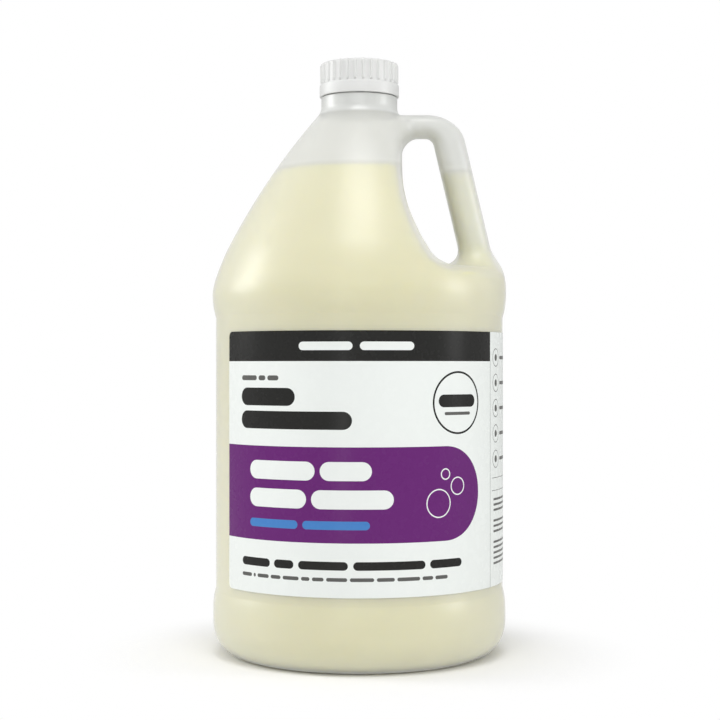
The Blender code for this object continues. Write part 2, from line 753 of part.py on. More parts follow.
def sheet_outline():
    """The label's own outline, with its two left corners rounded."""
    corner = LABEL_CORNER
    low = arc_outline((LABEL_LEFT + corner, corner), corner, math.pi, 1.5 * math.pi, 3)
    high = arc_outline((LABEL_LEFT + corner, LABEL_HEIGHT - corner), corner, 0.5 * math.pi, math.pi, 3)
    return low + [(LABEL_RIGHT, 0), (LABEL_RIGHT, LABEL_HEIGHT)] + high


def front_place(across, up):
    """A place on the front panel, as shares of its width and height."""
    return LABEL_LEFT + across * (LABEL_SEAM - LABEL_LEFT), up * LABEL_HEIGHT


def front_box(left, bottom, right, top):
    return box_outline(*front_place(left, bottom), *front_place(right, top))


def block_outline():
    """The coloured block starts at the label's left edge and ends in a half circle."""
    right, top = front_place(0.923, 0.563)
    bottom = front_place(0, 0.204)[1]
    radius = (top - bottom) / 2
    bow = arc_outline((right - radius, bottom + radius), radius, -0.5 * math.pi, 0.5 * math.pi, CURVE_STEPS)
    return [(LABEL_LEFT, bottom), *bow, (LABEL_LEFT, top)]


def ring_marks():
    """A thin ring with one bar inside it, where the pack states how much it holds."""
    centre = front_place(0.827, 0.727)
    half = 0.62 * RING_RADIUS
    rise = 0.18 * RING_RADIUS
    bar = box_outline(centre[0] - half, centre[1] - rise, centre[0] + half, centre[1] + rise)
    return [
        (circle_outline(centre, RING_RADIUS), INK),
        (circle_outline(centre, RING_RADIUS - RING_STROKE), PAPER),
        (bar, INK),
    ]


def bubble_marks():
    """Three bubbles drawn in line on the coloured block."""
    marks = []
    for across, up, share in ((0.752, 0.347, 0.055), (0.825, 0.410, 0.035), (0.777, 0.457, 0.022)):
        centre = front_place(across, up)
        radius = share * LABEL_HEIGHT
        marks.append((circle_outline(centre, radius, 14), PAPER))
        marks.append((circle_outline(centre, radius - BUBBLE_STROKE, 14), BLOCK))
    return marks


def side_panel_marks():
    """Plain marks on the side panel: a column of dots, and a block of short lines."""
    width = LABEL_RIGHT - LABEL_SEAM
    marks = []
    for row in range(5):
        centre = (LABEL_SEAM + 0.07 * width, (0.90 - 0.1 * row) * LABEL_HEIGHT)
        marks.append((circle_outline(centre, 0.023 * LABEL_HEIGHT, 8), INK))
    for row in range(4):
        low = (0.09 + 0.07 * row) * LABEL_HEIGHT
        high = low + 0.017 * LABEL_HEIGHT
        marks.append((box_outline(LABEL_SEAM + 0.04 * width, low, LABEL_RIGHT - 0.11 * width, high), INK))
    return marks


def artwork():
    """Closed outlines and the ink of each, painted one over another."""
    shapes = [
        (sheet_outline(), PAPER),
        (box_outline(LABEL_LEFT, LABEL_HEIGHT - BAND_HEIGHT, LABEL_SEAM, LABEL_HEIGHT), INK),
        (front_box(0.308, 0.930, 0.667, 0.957), PAPER),
        (front_box(0.080, 0.812, 0.237, 0.831), INK),
        (front_box(0.078, 0.721, 0.295, 0.784), INK),
        (front_box(0.078, 0.630, 0.475, 0.694), INK),
        (block_outline(), BLOCK),
        (front_box(0.121, 0.437, 0.535, 0.508), PAPER),
        (front_box(0.121, 0.331, 0.602, 0.402), PAPER),
        (front_box(0.121, 0.256, 0.529, 0.284), ACCENT),
        (front_box(0.083, 0.098, 0.842, 0.138), INK),
        (front_box(0.083, 0.059, 0.785, 0.075), INK),
    ]
    return shapes + ring_marks() + bubble_marks() + side_panel_marks()


def flat_artwork(shapes):
    """Triangles of the flat label, with the ink of each, cut along columns so that they bend round the panel."""
    points, edges, outlines = [], [], []
    for outline_points, _ in shapes:
        outlines.append(list(range(len(points), len(points) + len(outline_points))))
        points += outline_points
    count = math.ceil((LABEL_RIGHT - LABEL_LEFT) / LABEL_COLUMN)
    for column in range(1, count):
        along = LABEL_LEFT + (LABEL_RIGHT - LABEL_LEFT) * column / count
        edges.append((len(points), len(points) + 1))
        points += [(along, 0), (along, LABEL_HEIGHT)]
    cut = geometry.delaunay_2d_cdt([Vector(point) for point in points], edges, outlines, 1, 1e-6)
    flat, faces, sources = cut[0], cut[2], cut[5]
    return flat, faces, [shapes[max(source)][1] for source in sources]


def make_label(inks):
    """A paper label round the front and one side of the panel, with print as coloured fields."""
    flat, faces, face_inks = flat_artwork(artwork())
    facet = LABEL_COLUMN / PANEL_RADIUS / 2
    inner = (PANEL_RADIUS + CLEARANCE) / math.cos(facet)
    bm = bmesh.new()
    layers = []
    for radius in (inner + LABEL_THICKNESS, inner):
        layer = []
        for along, height in flat:
            angle = along / inner
            layer.append(bm.verts.new((radius * math.sin(angle), -radius * math.cos(angle), LABEL_BOTTOM + height)))
        layers.append(layer)
    front, back = layers
    for face, ink in zip(faces, face_inks):
        bm.faces.new([front[index] for index in face]).material_index = ink
        bm.faces.new([back[index] for index in reversed(face)])
    partner = dict(zip(front, back))
    for edge in [edge for edge in bm.edges if edge.is_boundary and edge.verts[0] in partner]:
        here, there = edge.verts
        bm.faces.new([here, there, partner[there], partner[here]])
    return add_object("label", bm, inks)


def main():
    clear_scene()
    plastic = material("natural_plastic", (0.80, 0.81, 0.79), 0.35, transmission=0.5)
    liquid = material("soap_gel", (0.73, 0.70, 0.44), 0.25)
    white = material("white_plastic", (0.84, 0.85, 0.84), 0.40)
    foam = material("white_foam", (0.78, 0.78, 0.76), 0.80)
    inks = [
        material("label_paper", (0.82, 0.84, 0.83), 0.45),
        material("label_ink", (0.022, 0.022, 0.022), 0.45),
        material("label_purple", (0.14, 0.025, 0.17), 0.45),
        material("label_blue", (0.07, 0.21, 0.51), 0.45),
    ]
    zone = handle_zone()
    stand = bpy.data.objects.new("jug_stand", None)
    bpy.context.scene.collection.objects.link(stand)
    pieces = [make_bottle(zone, plastic), make_soap(zone, liquid), make_cap(white), make_liner(foam), make_label(inks)]
    for piece in pieces:
        piece.parent = stand


main()
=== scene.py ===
"""Looks of a one-gallon hand soap refill jug: a milky blown bottle, pale gel soap, a white cap and a label.

Metres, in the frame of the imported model: the jug stands on z = 0, its label faces -Y and its handle is on +X.
"""

import json
import math

import bmesh
import bpy
import numpy as np
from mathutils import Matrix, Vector, geometry

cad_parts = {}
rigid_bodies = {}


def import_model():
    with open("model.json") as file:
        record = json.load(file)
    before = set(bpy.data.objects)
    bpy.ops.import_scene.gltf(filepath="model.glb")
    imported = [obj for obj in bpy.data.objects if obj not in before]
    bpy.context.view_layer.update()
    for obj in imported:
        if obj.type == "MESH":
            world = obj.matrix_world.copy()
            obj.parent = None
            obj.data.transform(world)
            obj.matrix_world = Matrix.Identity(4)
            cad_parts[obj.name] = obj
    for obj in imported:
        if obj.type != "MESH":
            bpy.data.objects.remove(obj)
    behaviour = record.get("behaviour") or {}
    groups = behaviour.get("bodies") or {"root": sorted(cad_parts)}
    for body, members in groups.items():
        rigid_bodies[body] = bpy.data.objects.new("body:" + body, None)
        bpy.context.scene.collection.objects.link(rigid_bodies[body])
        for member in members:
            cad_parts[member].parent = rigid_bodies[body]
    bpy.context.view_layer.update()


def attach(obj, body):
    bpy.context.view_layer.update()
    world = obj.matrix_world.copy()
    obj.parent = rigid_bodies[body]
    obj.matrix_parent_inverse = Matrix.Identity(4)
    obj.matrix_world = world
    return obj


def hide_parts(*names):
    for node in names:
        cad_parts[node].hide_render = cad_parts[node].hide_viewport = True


# The photograph's view, with places in pixels of its 720 by 720 frame
FRAME_SIZE = 720
AXIS_X = 359.3
HORIZON_Y = 365.3
FOCAL_LENGTH = 1593.3
SENSOR_WIDTH = 36
CAMERA_DISTANCE = 0.8398
CAMERA_HEIGHT = 0.1504

# Turned body, bottom to top
FOOT_RADIUS = 0.0629
FOOT_WIDTH = 0.0051
FOOT_EDGE = 0.0008
PUSH_UP = 0.0051
PUSH_UP_SLOPE = 0.0061
HEEL_HEIGHT = 0.0183
BASE_RING_PROUD = 0.0015
BASE_RING_LIFT = 0.0054
PANEL_RADIUS = 0.0752
PANEL_HEIGHT = 0.1405
SHOULDER_RING_PROUD = 0.0018
RING_ROUND = 0.0406
BREAK_LIFT = 0.0103
BREAK_ROUND = 0.0030
CONE_HEIGHT = 0.0834
CONE_TOP_STEP = 0.0023
CONE_BULGE = 0.0035
COLLAR_STEP = 0.00245
COLLAR_HEIGHT = 0.0103
COLLAR_FILLET = 0.0018

# Screw neck
FINISH_RADIUS = 0.01755
FINISH_HEIGHT = 0.0147
NECK_WALL = 0.0022
NECK_EDGE = 0.0005
THREAD_PITCH = 0.004233
THREAD_DEPTH = 0.0012
THREAD_FOOT = 0.0022
THREAD_CREST = 0.0010
THREAD_TURNS = 1.5
THREAD_DROP = 0.0026
CAP_THREAD_TURNS = 1.25

# Walls and clearances
WALL = 0.0007
PINCH_WALL = 0.0022
PINCH_REACH = 0.007
CLEARANCE = 0.0003
THREAD_CLEARANCE = 0.00035
SOAP_GAP = 0.0003
LABEL_GAP = 0.00006

# Hand pocket, cut straight through from front to back
POCKET_STANDOFF = 0.0010
POCKET_CURVE = 0.0188
POCKET_CURVE_POWER = 2.3
POCKET_TOP_DROP = 0.0237
POCKET_BOW = 0.0015
POCKET_BOW_REACH = 0.030
POCKET_FLOOR_LIFT = 0.0028
POCKET_FLOOR_CROWN = 0.0032
POCKET_FLOOR_ROUND = 0.006
POCKET_EDGE_ROUND = 0.005

# Hollow handle across the pocket
HANDLE_TOP_DROP = 0.0049
HANDLE_FOOT_INSET = 0.0123
HANDLE_LEAN = 0.0180
HANDLE_BEND_RADIUS = 0.0128
HANDLE_TOP_HALF = 0.0060
HANDLE_GRIP_HALF = 0.0082
HANDLE_HALF_DEPTH = 0.0110
HANDLE_SQUARENESS = 2.3
HANDLE_TOP_FILLET = 0.009
HANDLE_CREST_FILLET = 0.002
HANDLE_FOOT_FILLET = 0.0100
HANDLE_ROOT_OVERLAP = 0.003

# Soap
FILL_DROP = 0.0295
MENISCUS_HEIGHT = 0.0006
MENISCUS_REACH = 0.0018

# Cap and liner
CAP_TOP_THICKNESS = 0.0016
CAP_BAND_PROUD = 0.0003
CAP_BAND_HEIGHT = 0.0057
CAP_STEP = 0.0009
CAP_WALL = 0.0015
CAP_RIB_DEPTH = 0.0009
CAP_RIB_COUNT = 30
CAP_RIB_SHARE = 0.28
CAP_RIB_SHOULDER = 0.12
CAP_ROUND = 0.0013
CAP_EDGE = 0.0004
LINER_THICKNESS = 0.0010
LINER_EDGE = 0.0002

# Label, with lengths along the panel from its front centre and heights above its lower edge
LABEL_LIFT = 0.0039
LABEL_TOP_DROP = 0.0079
LABEL_THICKNESS = 0.00015
LABEL_LEFT = -0.0791
LABEL_SEAM = 0.0801
LABEL_RIGHT = 0.1917
LABEL_CORNER = 0.0028
BAND_HEIGHT = 0.0148
RING_RADIUS = 0.0155
RING_STROKE = 0.0010
LINE_STROKE = 0.0006
DOT_STROKE = 0.0004
RULE_STROKE = 0.0003
LABEL_COLUMN = 0.0016

# Inks of the label, by material slot
PAPER, INK, BLOCK, ACCENT, GREY = range(5)

# Facets
COLUMNS = 18
POCKET_COLUMNS = 4
FACE_ROWS = 4
HANDLE_SECTIONS = 7
CAGE_CUTS = 5
HEEL_STEPS = 24
RING_STEPS = 10
NECK_STEPS = 72
EDGE_STEPS = 4
RIB_STEPS = 12
CURVE_STEPS = 24
RIB_ROWS = 12
LINER_STEPS = 96
CORNER_STEPS = 8

# Height between the rows of the handle zone's cage, and how often its points are evened and settled
ROW_STEP = 0.0055
EVENING_PASSES = 8
EVENING_ROUNDS = 3

# Looks: the parting line, the height over which the soap's painted lighter colour in the handle fades at the
# handle's roots, and the height over which the soap's edge fades
PARTING_HALF_WIDTH = 0.0004
HANDLE_FADE = 0.02
SOAP_EDGE_FADE = 0.003

# Floor: it shows shadow out to one reach, and is plain white beyond the next
FLOOR_RADIUS = 8
SHADOW_REACH = 0.07
WHITE_REACH = 0.15

# Light: the level of the white surroundings, and how far the softboxes stand from the jug
WORLD_LEVEL = 0.55
SOFTBOX_DISTANCE = 1.3

# Softboxes: bearing from the front and elevation in degrees, width and height in metres, and power
SOFTBOXES = {
    "front_top_box": (1, 64, 0.56, 0.60, 6.5),
    "front_box": (-3, 20, 0.80, 0.40, 2.0),
    "front_low_box": (-12, -4, 0.12, 0.16, 0.9),
    "left_box": (-98, 20, 0.45, 0.74, 6.2),
    "right_box": (78, 12, 0.30, 0.55, 3.8),
}

# Heights and radii worked out from the sizes above
BASE_RING_RADIUS = PANEL_RADIUS + BASE_RING_PROUD
SHOULDER_RING_RADIUS = PANEL_RADIUS + SHOULDER_RING_PROUD
COLLAR_RADIUS = FINISH_RADIUS + COLLAR_STEP
CONE_TOP_RADIUS = COLLAR_RADIUS + CONE_TOP_STEP
BASE_RING_Z = HEEL_HEIGHT + BASE_RING_LIFT
PANEL_BOTTOM = BASE_RING_Z + math.sqrt(RING_ROUND**2 - (RING_ROUND + PANEL_RADIUS - BASE_RING_RADIUS) ** 2)
PANEL_TOP = PANEL_BOTTOM + PANEL_HEIGHT
RING_RISE = math.sqrt(RING_ROUND**2 - (RING_ROUND + PANEL_RADIUS - SHOULDER_RING_RADIUS) ** 2)
SHOULDER_RING_Z = PANEL_TOP + RING_RISE
BREAK_Z = SHOULDER_RING_Z + BREAK_LIFT
BREAK_RADIUS = SHOULDER_RING_RADIUS - RING_ROUND + math.sqrt(RING_ROUND**2 - BREAK_LIFT**2)
CONE_TOP = BREAK_Z + CONE_HEIGHT
COLLAR_TOP = CONE_TOP + COLLAR_HEIGHT
NECK_TOP = COLLAR_TOP + FINISH_HEIGHT
BORE_RADIUS = FINISH_RADIUS - NECK_WALL
POCKET_FLOOR = BREAK_Z + POCKET_FLOOR_LIFT
POCKET_TOP = CONE_TOP - POCKET_TOP_DROP
POCKET_FACE_X = COLLAR_RADIUS + POCKET_STANDOFF
POCKET_DEPTH = BREAK_RADIUS - POCKET_FACE_X
HANDLE_TOP_Z = CONE_TOP - HANDLE_TOP_DROP
HANDLE_FOOT_X = BREAK_RADIUS - HANDLE_FOOT_INSET
HANDLE_BEND_X = HANDLE_FOOT_X - HANDLE_LEAN
FILL_HEIGHT = CONE_TOP - FILL_DROP
BLEND_BOTTOM = SHOULDER_RING_Z
BLEND_TOP = CONE_TOP + 0.5 * COLLAR_HEIGHT
CAP_BORE_RADIUS = FINISH_RADIUS + THREAD_DEPTH + THREAD_CLEARANCE
CAP_RIB_RADIUS = CAP_BORE_RADIUS + CAP_WALL
CAP_BAND_RADIUS = CAP_RIB_RADIUS + CAP_BAND_PROUD
CAP_BOTTOM = COLLAR_TOP + CLEARANCE
LINER_BOTTOM = NECK_TOP + CLEARANCE
CAP_CEILING = LINER_BOTTOM + LINER_THICKNESS + CLEARANCE
CAP_TOP = CAP_CEILING + CAP_TOP_THICKNESS
LABEL_BOTTOM = PANEL_BOTTOM + LABEL_LIFT
LABEL_HEIGHT = PANEL_HEIGHT - LABEL_LIFT - LABEL_TOP_DROP


# Mesh helpers


def add_piece(name, bm, materials, replaced, body, smooth_angle=40):
    """A finished piece that stands for a node of the frame and rides on its body."""
    bmesh.ops.recalc_face_normals(bm, faces=bm.faces[:])
    mesh = bpy.data.meshes.new(name)
    bm.to_mesh(mesh)
    bm.free()
    mesh.shade_smooth()
    mesh.set_sharp_from_angle(angle=math.radians(smooth_angle))
    for each in materials:
        mesh.materials.append(each)
    obj = bpy.data.objects.new(name, mesh)
    bpy.context.scene.collection.objects.link(obj)
    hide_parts(replaced)
    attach(obj, body)


def add_ring(bm, radius, z, angles):
    """A ring of vertices round the axis. Its radius may be one number, or one for each angle."""
    radii = np.broadcast_to(radius, len(angles))
    return [bm.verts.new((r * math.cos(angle), r * math.sin(angle), z)) for r, angle in zip(radii, angles)]


def bridge(bm, below, above):
    count = len(below)
    for here in range(count):
        beside = (here + 1) % count
        bm.faces.new([below[here], below[beside], above[beside], above[here]])


def bridge_all(bm, rings):
    for below, above in zip(rings, rings[1:]):
        bridge(bm, below, above)


def corner_arc(radius, z, size, start):
    """A quarter circle of outline points round a centre, from one angle on."""
    turns = [start + step / EDGE_STEPS * math.pi / 2 for step in range(EDGE_STEPS + 1)]
    return [(radius + size * math.cos(turn), z + size * math.sin(turn)) for turn in turns]


# Distances to the outside of the jug: positive outside, negative in the wall and the hollow


def joined(a, b, fillet):
    """Distance to the union of two forms, with a round fillet in the corner between them."""
    inner = np.hypot(np.maximum(fillet - a, 0), np.maximum(fillet - b, 0))
    return np.maximum(fillet, np.minimum(a, b)) - inner


def trimmed(a, b, rounding):
    """Distance to what two forms share, with a round edge where their surfaces cross."""
    return -joined(-a, -b, rounding)


def smooth_step(value):
    value = np.clip(value, 0, 1)
    return value * value * (3 - 2 * value)


def ring_distance(radius, z):
    """The shoulder ring is a round bulge, carried on by its tangent above the break."""
    out = radius - SHOULDER_RING_RADIUS + RING_ROUND
    rise = z - SHOULDER_RING_Z
    level = math.sqrt(RING_ROUND**2 - BREAK_LIFT**2)
    tangent = (out * level + rise * BREAK_LIFT) / RING_ROUND
    return np.where(rise > BREAK_LIFT, tangent, np.hypot(out, rise)) - RING_ROUND


def cone_distance(radius, z):
    """The cone's outline is one long arc that bulges outward from the chord between its ends."""
    run = BREAK_RADIUS - CONE_TOP_RADIUS
    chord = math.hypot(run, CONE_HEIGHT)
    arc = (chord**2 / 4 + CONE_BULGE**2) / (2 * CONE_BULGE)
    reach = (arc - CONE_BULGE) / chord
    centre_radius = (BREAK_RADIUS + CONE_TOP_RADIUS) / 2 - reach * CONE_HEIGHT
    centre_z = BREAK_Z + CONE_HEIGHT / 2 - reach * run
    return np.hypot(radius - centre_radius, z - centre_z) - arc


def pocket_face(z):
    """X and slope of the pocket's back wall, which is upright at the top and sweeps outward to the floor."""
    height = POCKET_TOP - POCKET_FLOOR
    depth = np.clip((POCKET_TOP - z) / height, 0, 1.1)
    slope = POCKET_CURVE * POCKET_CURVE_POWER * depth ** (POCKET_CURVE_POWER - 1) / height
    return POCKET_FACE_X + POCKET_CURVE * depth**POCKET_CURVE_POWER, slope


def pocket_distance(x, y, z):
    face, slope = pocket_face(z)
    middle = np.maximum(1 - (y / POCKET_BOW_REACH) ** 2, 0)
    back_wall = (x - face - POCKET_BOW * middle) / np.sqrt(1 + slope**2)
    floor = z - POCKET_FLOOR - POCKET_FLOOR_CROWN * middle**2
    return joined(back_wall, floor, POCKET_FLOOR_ROUND)


def handle_line():
    """Centre line of the handle in x and z, from inside the neck, round the bend and down to the floor."""
    fall = HANDLE_TOP_Z - POCKET_FLOOR
    turn = math.atan2(fall, HANDLE_LEAN)
    tangent = HANDLE_BEND_RADIUS * math.tan(turn / 2)
    centre = np.array([HANDLE_BEND_X - tangent, HANDLE_TOP_Z - HANDLE_BEND_RADIUS])
    bend = np.linspace(0, turn, CURVE_STEPS)
    arc = centre + HANDLE_BEND_RADIUS * np.column_stack([np.sin(bend), np.cos(bend)])
    down = np.array([HANDLE_LEAN, -fall]) / math.hypot(HANDLE_LEAN, fall)
    foot = np.array([HANDLE_FOOT_X, POCKET_FLOOR]) + HANDLE_ROOT_OVERLAP * down
    return np.vstack([[COLLAR_RADIUS / 2, HANDLE_TOP_Z], arc, foot])


def nearest_on_line(line, x, z):
    """Distance from each point to the line, and how far along the line its nearest point lies."""
    start = line[:-1]
    step = line[1:] - start
    length = np.linalg.norm(step, axis=1)
    reached = np.concatenate([[0], np.cumsum(length)[:-1]])
    point = np.column_stack([x, z])[:, None, :]
    share = ((point - start) * step).sum(axis=2) / length**2
    share = np.clip(share, 0, 1)
    gap = np.linalg.norm(point - start - share[..., None] * step, axis=2)
    best = gap.argmin(axis=1)
    row = np.arange(len(best))
    return gap[row, best], reached[best] + share[row, best] * length[best]


def handle_half(along):
    """Half of the handle's width in the x-z plane: slim along the top, fuller at the grip."""
    turn = math.atan2(HANDLE_TOP_Z - POCKET_FLOOR, HANDLE_LEAN)
    straight = HANDLE_BEND_X - COLLAR_RADIUS / 2 - HANDLE_BEND_RADIUS * math.tan(turn / 2)
    share = (along - straight) / (HANDLE_BEND_RADIUS * turn)
    return HANDLE_TOP_HALF + (HANDLE_GRIP_HALF - HANDLE_TOP_HALF) * smooth_step(share)


def handle_distance(x, y, z):
    gap, along = nearest_on_line(handle_line(), x, z)
    half = handle_half(along)
    power = HANDLE_SQUARENESS
    share = ((gap / half) ** power + (np.abs(y) / HANDLE_HALF_DEPTH) ** power) ** (1 / power)
    return (share - 1) * np.minimum(half, HANDLE_HALF_DEPTH)


def jug_distance(points):
    x, y, z = points.T
    radius = np.hypot(x, y)
    body = trimmed(ring_distance(radius, z), cone_distance(radius, z), BREAK_ROUND)
    body = trimmed(body, pocket_distance(x, y, z), POCKET_EDGE_ROUND)
    collar = np.maximum(radius - COLLAR_RADIUS, CONE_TOP - COLLAR_HEIGHT - z)
    body = joined(body, collar, COLLAR_FILLET)
    rise = smooth_step((z - POCKET_FLOOR) / CONE_HEIGHT)
    fillet = HANDLE_FOOT_FILLET + (HANDLE_TOP_FILLET - HANDLE_FOOT_FILLET) * rise
    above = smooth_step((z - HANDLE_TOP_Z) / HANDLE_TOP_HALF)
    fillet = fillet + (HANDLE_CREST_FILLET - fillet) * above
    return joined(body, handle_distance(x, y, z), fillet)


def jug_slope(points, step=1e-5):
    slope = np.empty_like(points)
    for axis in range(3):
        ahead = points.copy()
        behind = points.copy()
        ahead[:, axis] += step
        behind[:, axis] -= step
        slope[:, axis] = (jug_distance(ahead) - jug_distance(behind)) / (2 * step)
    return slope


def settled(points, depth, fixed, rounds=14, most=0.003):
    """The points moved along the slope until they lie at their depth below the outside of the jug."""
    points = points.copy()
    free = ~fixed
    for _ in range(rounds):
        slope = jug_slope(points[free])
        size = np.maximum(np.linalg.norm(slope, axis=1), 0.2)
        move = np.clip(jug_distance(points[free]) / size + depth[free], -most, most)
        points[free] -= slope * (move / size)[:, None]
    return points


def wall_depth(points):
    """Wall thickness: thicker where the mould pinched the pocket shut, and at the neck."""
    x, y, z = points.T
    pinch = smooth_step(1 - np.abs(pocket_distance(x, y, z)) / PINCH_REACH)
    pinch = pinch * smooth_step((np.hypot(x, y) - COLLAR_RADIUS) / COLLAR_RADIUS + 1)
    wall = WALL + (PINCH_WALL - WALL) * pinch
    high = smooth_step((z - CONE_TOP + COLLAR_HEIGHT) / COLLAR_HEIGHT)
    near = smooth_step(2 - np.hypot(x, y) / COLLAR_RADIUS)
    return np.maximum(wall, WALL + (NECK_WALL - WALL) * high * near)


# Cage of the handle zone: rows from the shoulder ring to the collar, columns round the axis


def column_angles(middle_x):
    """Angles of the columns at +Y. The first clears the handle's side, and two straddle the pocket's edge."""
    half = COLUMNS // 2
    corner = math.acos(POCKET_FACE_X / (POCKET_FACE_X + 0.5 * POCKET_DEPTH))
    first = math.atan2(1.1 * HANDLE_HALF_DEPTH, middle_x)
    spread = 0.1
    angles = [0, first, (first + corner - spread) / 2, corner - spread, corner + spread]
    rest = half - POCKET_COLUMNS
    last = angles[-1]
    return angles + [last + (math.pi - last) * step / rest for step in range(1, rest + 1)]


def row_plan():
    """For each row: its height on the plain side, and its x and z in the plane of the handle."""
    face_low = POCKET_FLOOR + 2 * ROW_STEP
    plain_low = BREAK_Z + 3.5 * ROW_STEP
    root_low = HANDLE_TOP_Z - 1.25 * HANDLE_TOP_HALF
    inner_x = pocket_face(POCKET_FLOOR)[0] + 1.2 * POCKET_FLOOR_ROUND
    rows = [
        (BREAK_Z, BREAK_RADIUS - 0.5 * POCKET_EDGE_ROUND, POCKET_FLOOR - 0.2 * POCKET_EDGE_ROUND),
        (BREAK_Z + ROW_STEP, HANDLE_FOOT_X, POCKET_FLOOR),
        (BREAK_Z + 2 * ROW_STEP, inner_x, POCKET_FLOOR),
    ]
    for step in range(FACE_ROWS):
        share = step / FACE_ROWS
        plain = plain_low + share * (root_low - plain_low)
        middle = face_low + share * (root_low - face_low)
        rows.append((plain, pocket_face(middle)[0], middle))
    rows.append((root_low, POCKET_FACE_X, root_low))
    rows.append((HANDLE_TOP_Z, POCKET_FACE_X + COLLAR_FILLET, HANDLE_TOP_Z))
    top = CONE_TOP + 0.1 * COLLAR_HEIGHT
    rows.append((top, COLLAR_RADIUS, top))
    return rows


def cage_point(row, angle, corner):
    """A starting point near the surface, for one row at one angle."""
    plain_z, middle_x, middle_z = row
    share = min(angle / corner, 1)
    on_floor = middle_x > pocket_face(POCKET_FLOOR)[0]
    z = middle_z + (plain_z - middle_z) * share**2
    radius = plain_radius(z)
    if on_floor:
        radius = middle_x + (radius - middle_x) * share**2
    elif angle < 0.45 * math.pi:
        radius = min(radius, pocket_face(z)[0] / math.cos(angle))
    return radius, z


def plain_radius(z):
    """Radius of the turned body at a height of the cone, found along a level line."""
    low, high = 0.5 * COLLAR_RADIUS, SHOULDER_RING_RADIUS
    for _ in range(40):
        middle = (low + high) / 2
        inside = max(ring_distance(middle, z), cone_distance(middle, z)) < 0
        low, high = (middle, high) if inside else (low, middle)
    return max(low, COLLAR_RADIUS)


def cage_rows(bm):
    """Rows of cage vertices, each a list round the axis from the handle's plane through +Y."""
    half = COLUMNS // 2
    even = [math.pi * step / half for step in range(half + 1)]
    corner = column_angles(POCKET_FACE_X)[POCKET_COLUMNS]
    plans = [(None, even, BLEND_BOTTOM)]
    plans += [(row, column_angles(row[1]), None) for row in row_plan()]
    plans.append((None, even, BLEND_TOP))
    made = []
    for row, angles, level in plans:
        both = angles + [-angle for angle in reversed(angles[1:-1])]
        ring = []
        for angle in both:
            if row is None:
                radius, z = plain_radius(level), level
            else:
                radius, z = cage_point(row, abs(angle), corner)
            ring.append(bm.verts.new((radius * math.cos(angle), radius * math.sin(angle), z)))
        made.append(ring)
    return made


def root_loop(rows, low, high):
    """The eight vertices round a root of the handle, from its outer side round through +Y."""
    middle = (low + high) // 2
    outer, inner = (low, high) if low < FACE_ROWS else (high, low)
    order = [(outer, 0), (outer, 1), (middle, 1), (inner, 1)]
    order += [(inner, 0), (inner, -1), (middle, -1), (outer, -1)]
    return [rows[row][column] for row, column in order]


def handle_rings(bm):
    """Eight-sided sections of the handle, from the foot up and round the bend to the neck."""
    line = handle_line()[::-1]
    step = np.diff(line, axis=0)
    reached = np.concatenate([[0], np.cumsum(np.linalg.norm(step, axis=1))])
    first = HANDLE_ROOT_OVERLAP + 1.6 * HANDLE_FOOT_FILLET
    last = reached[-1] - (POCKET_FACE_X + HANDLE_TOP_FILLET - COLLAR_RADIUS / 2)
    rings = []
    for place in np.linspace(first, last, HANDLE_SECTIONS):
        part = min(int(np.searchsorted(reached, place, side="right")) - 1, len(step) - 1)
        along = step[part] / np.linalg.norm(step[part])
        centre = line[part] + along * (place - reached[part])
        outward = np.array([along[1], -along[0]])
        half = float(handle_half(reached[-1] - place))
        ring = []
        for side in range(8):
            turn = side * math.pi / 4
            x, z = centre + outward * half * math.cos(turn)
            ring.append(bm.verts.new((x, HANDLE_HALF_DEPTH * math.sin(turn), z)))
        rings.append(ring)
    return rings


def handle_cage():
    """Quads of the handle zone: a holed sleeve round the axis, and the handle's tube from hole to hole."""
    bm = bmesh.new()
    rows = cage_rows(bm)
    top = len(rows) - 2
    roots = [(1, 3), (top - 2, top)]
    for low, (below, above) in enumerate(zip(rows, rows[1:])):
        for column in range(COLUMNS):
            beside = (column + 1) % COLUMNS
            at_root = any(first <= low < last for first, last in roots) and column in (0, COLUMNS - 1)
            if not at_root:
                bm.faces.new([below[column], below[beside], above[beside], above[column]])
    rings = [root_loop(rows, *roots[0]), *handle_rings(bm), root_loop(rows, *roots[1])]
    bridge_all(bm, rings)
    for first, last in roots:
        bm.verts.remove(rows[(first + last) // 2][0])
    bmesh.ops.subdivide_edges(bm, edges=bm.edges[:], cuts=CAGE_CUTS, use_grid_fill=True)
    bm.verts.index_update()
    return bm


def evened(points, edges, fixed):
    """The points moved halfway to the middle of their neighbours."""
    total = np.zeros_like(points)
    count = np.zeros(len(points))
    for here, there in (edges.T, edges[:, ::-1].T):
        np.add.at(total, here, points[there])
        np.add.at(count, here, 1)
    middle = total / count[:, None]
    return np.where(fixed[:, None], points, (points + middle) / 2)


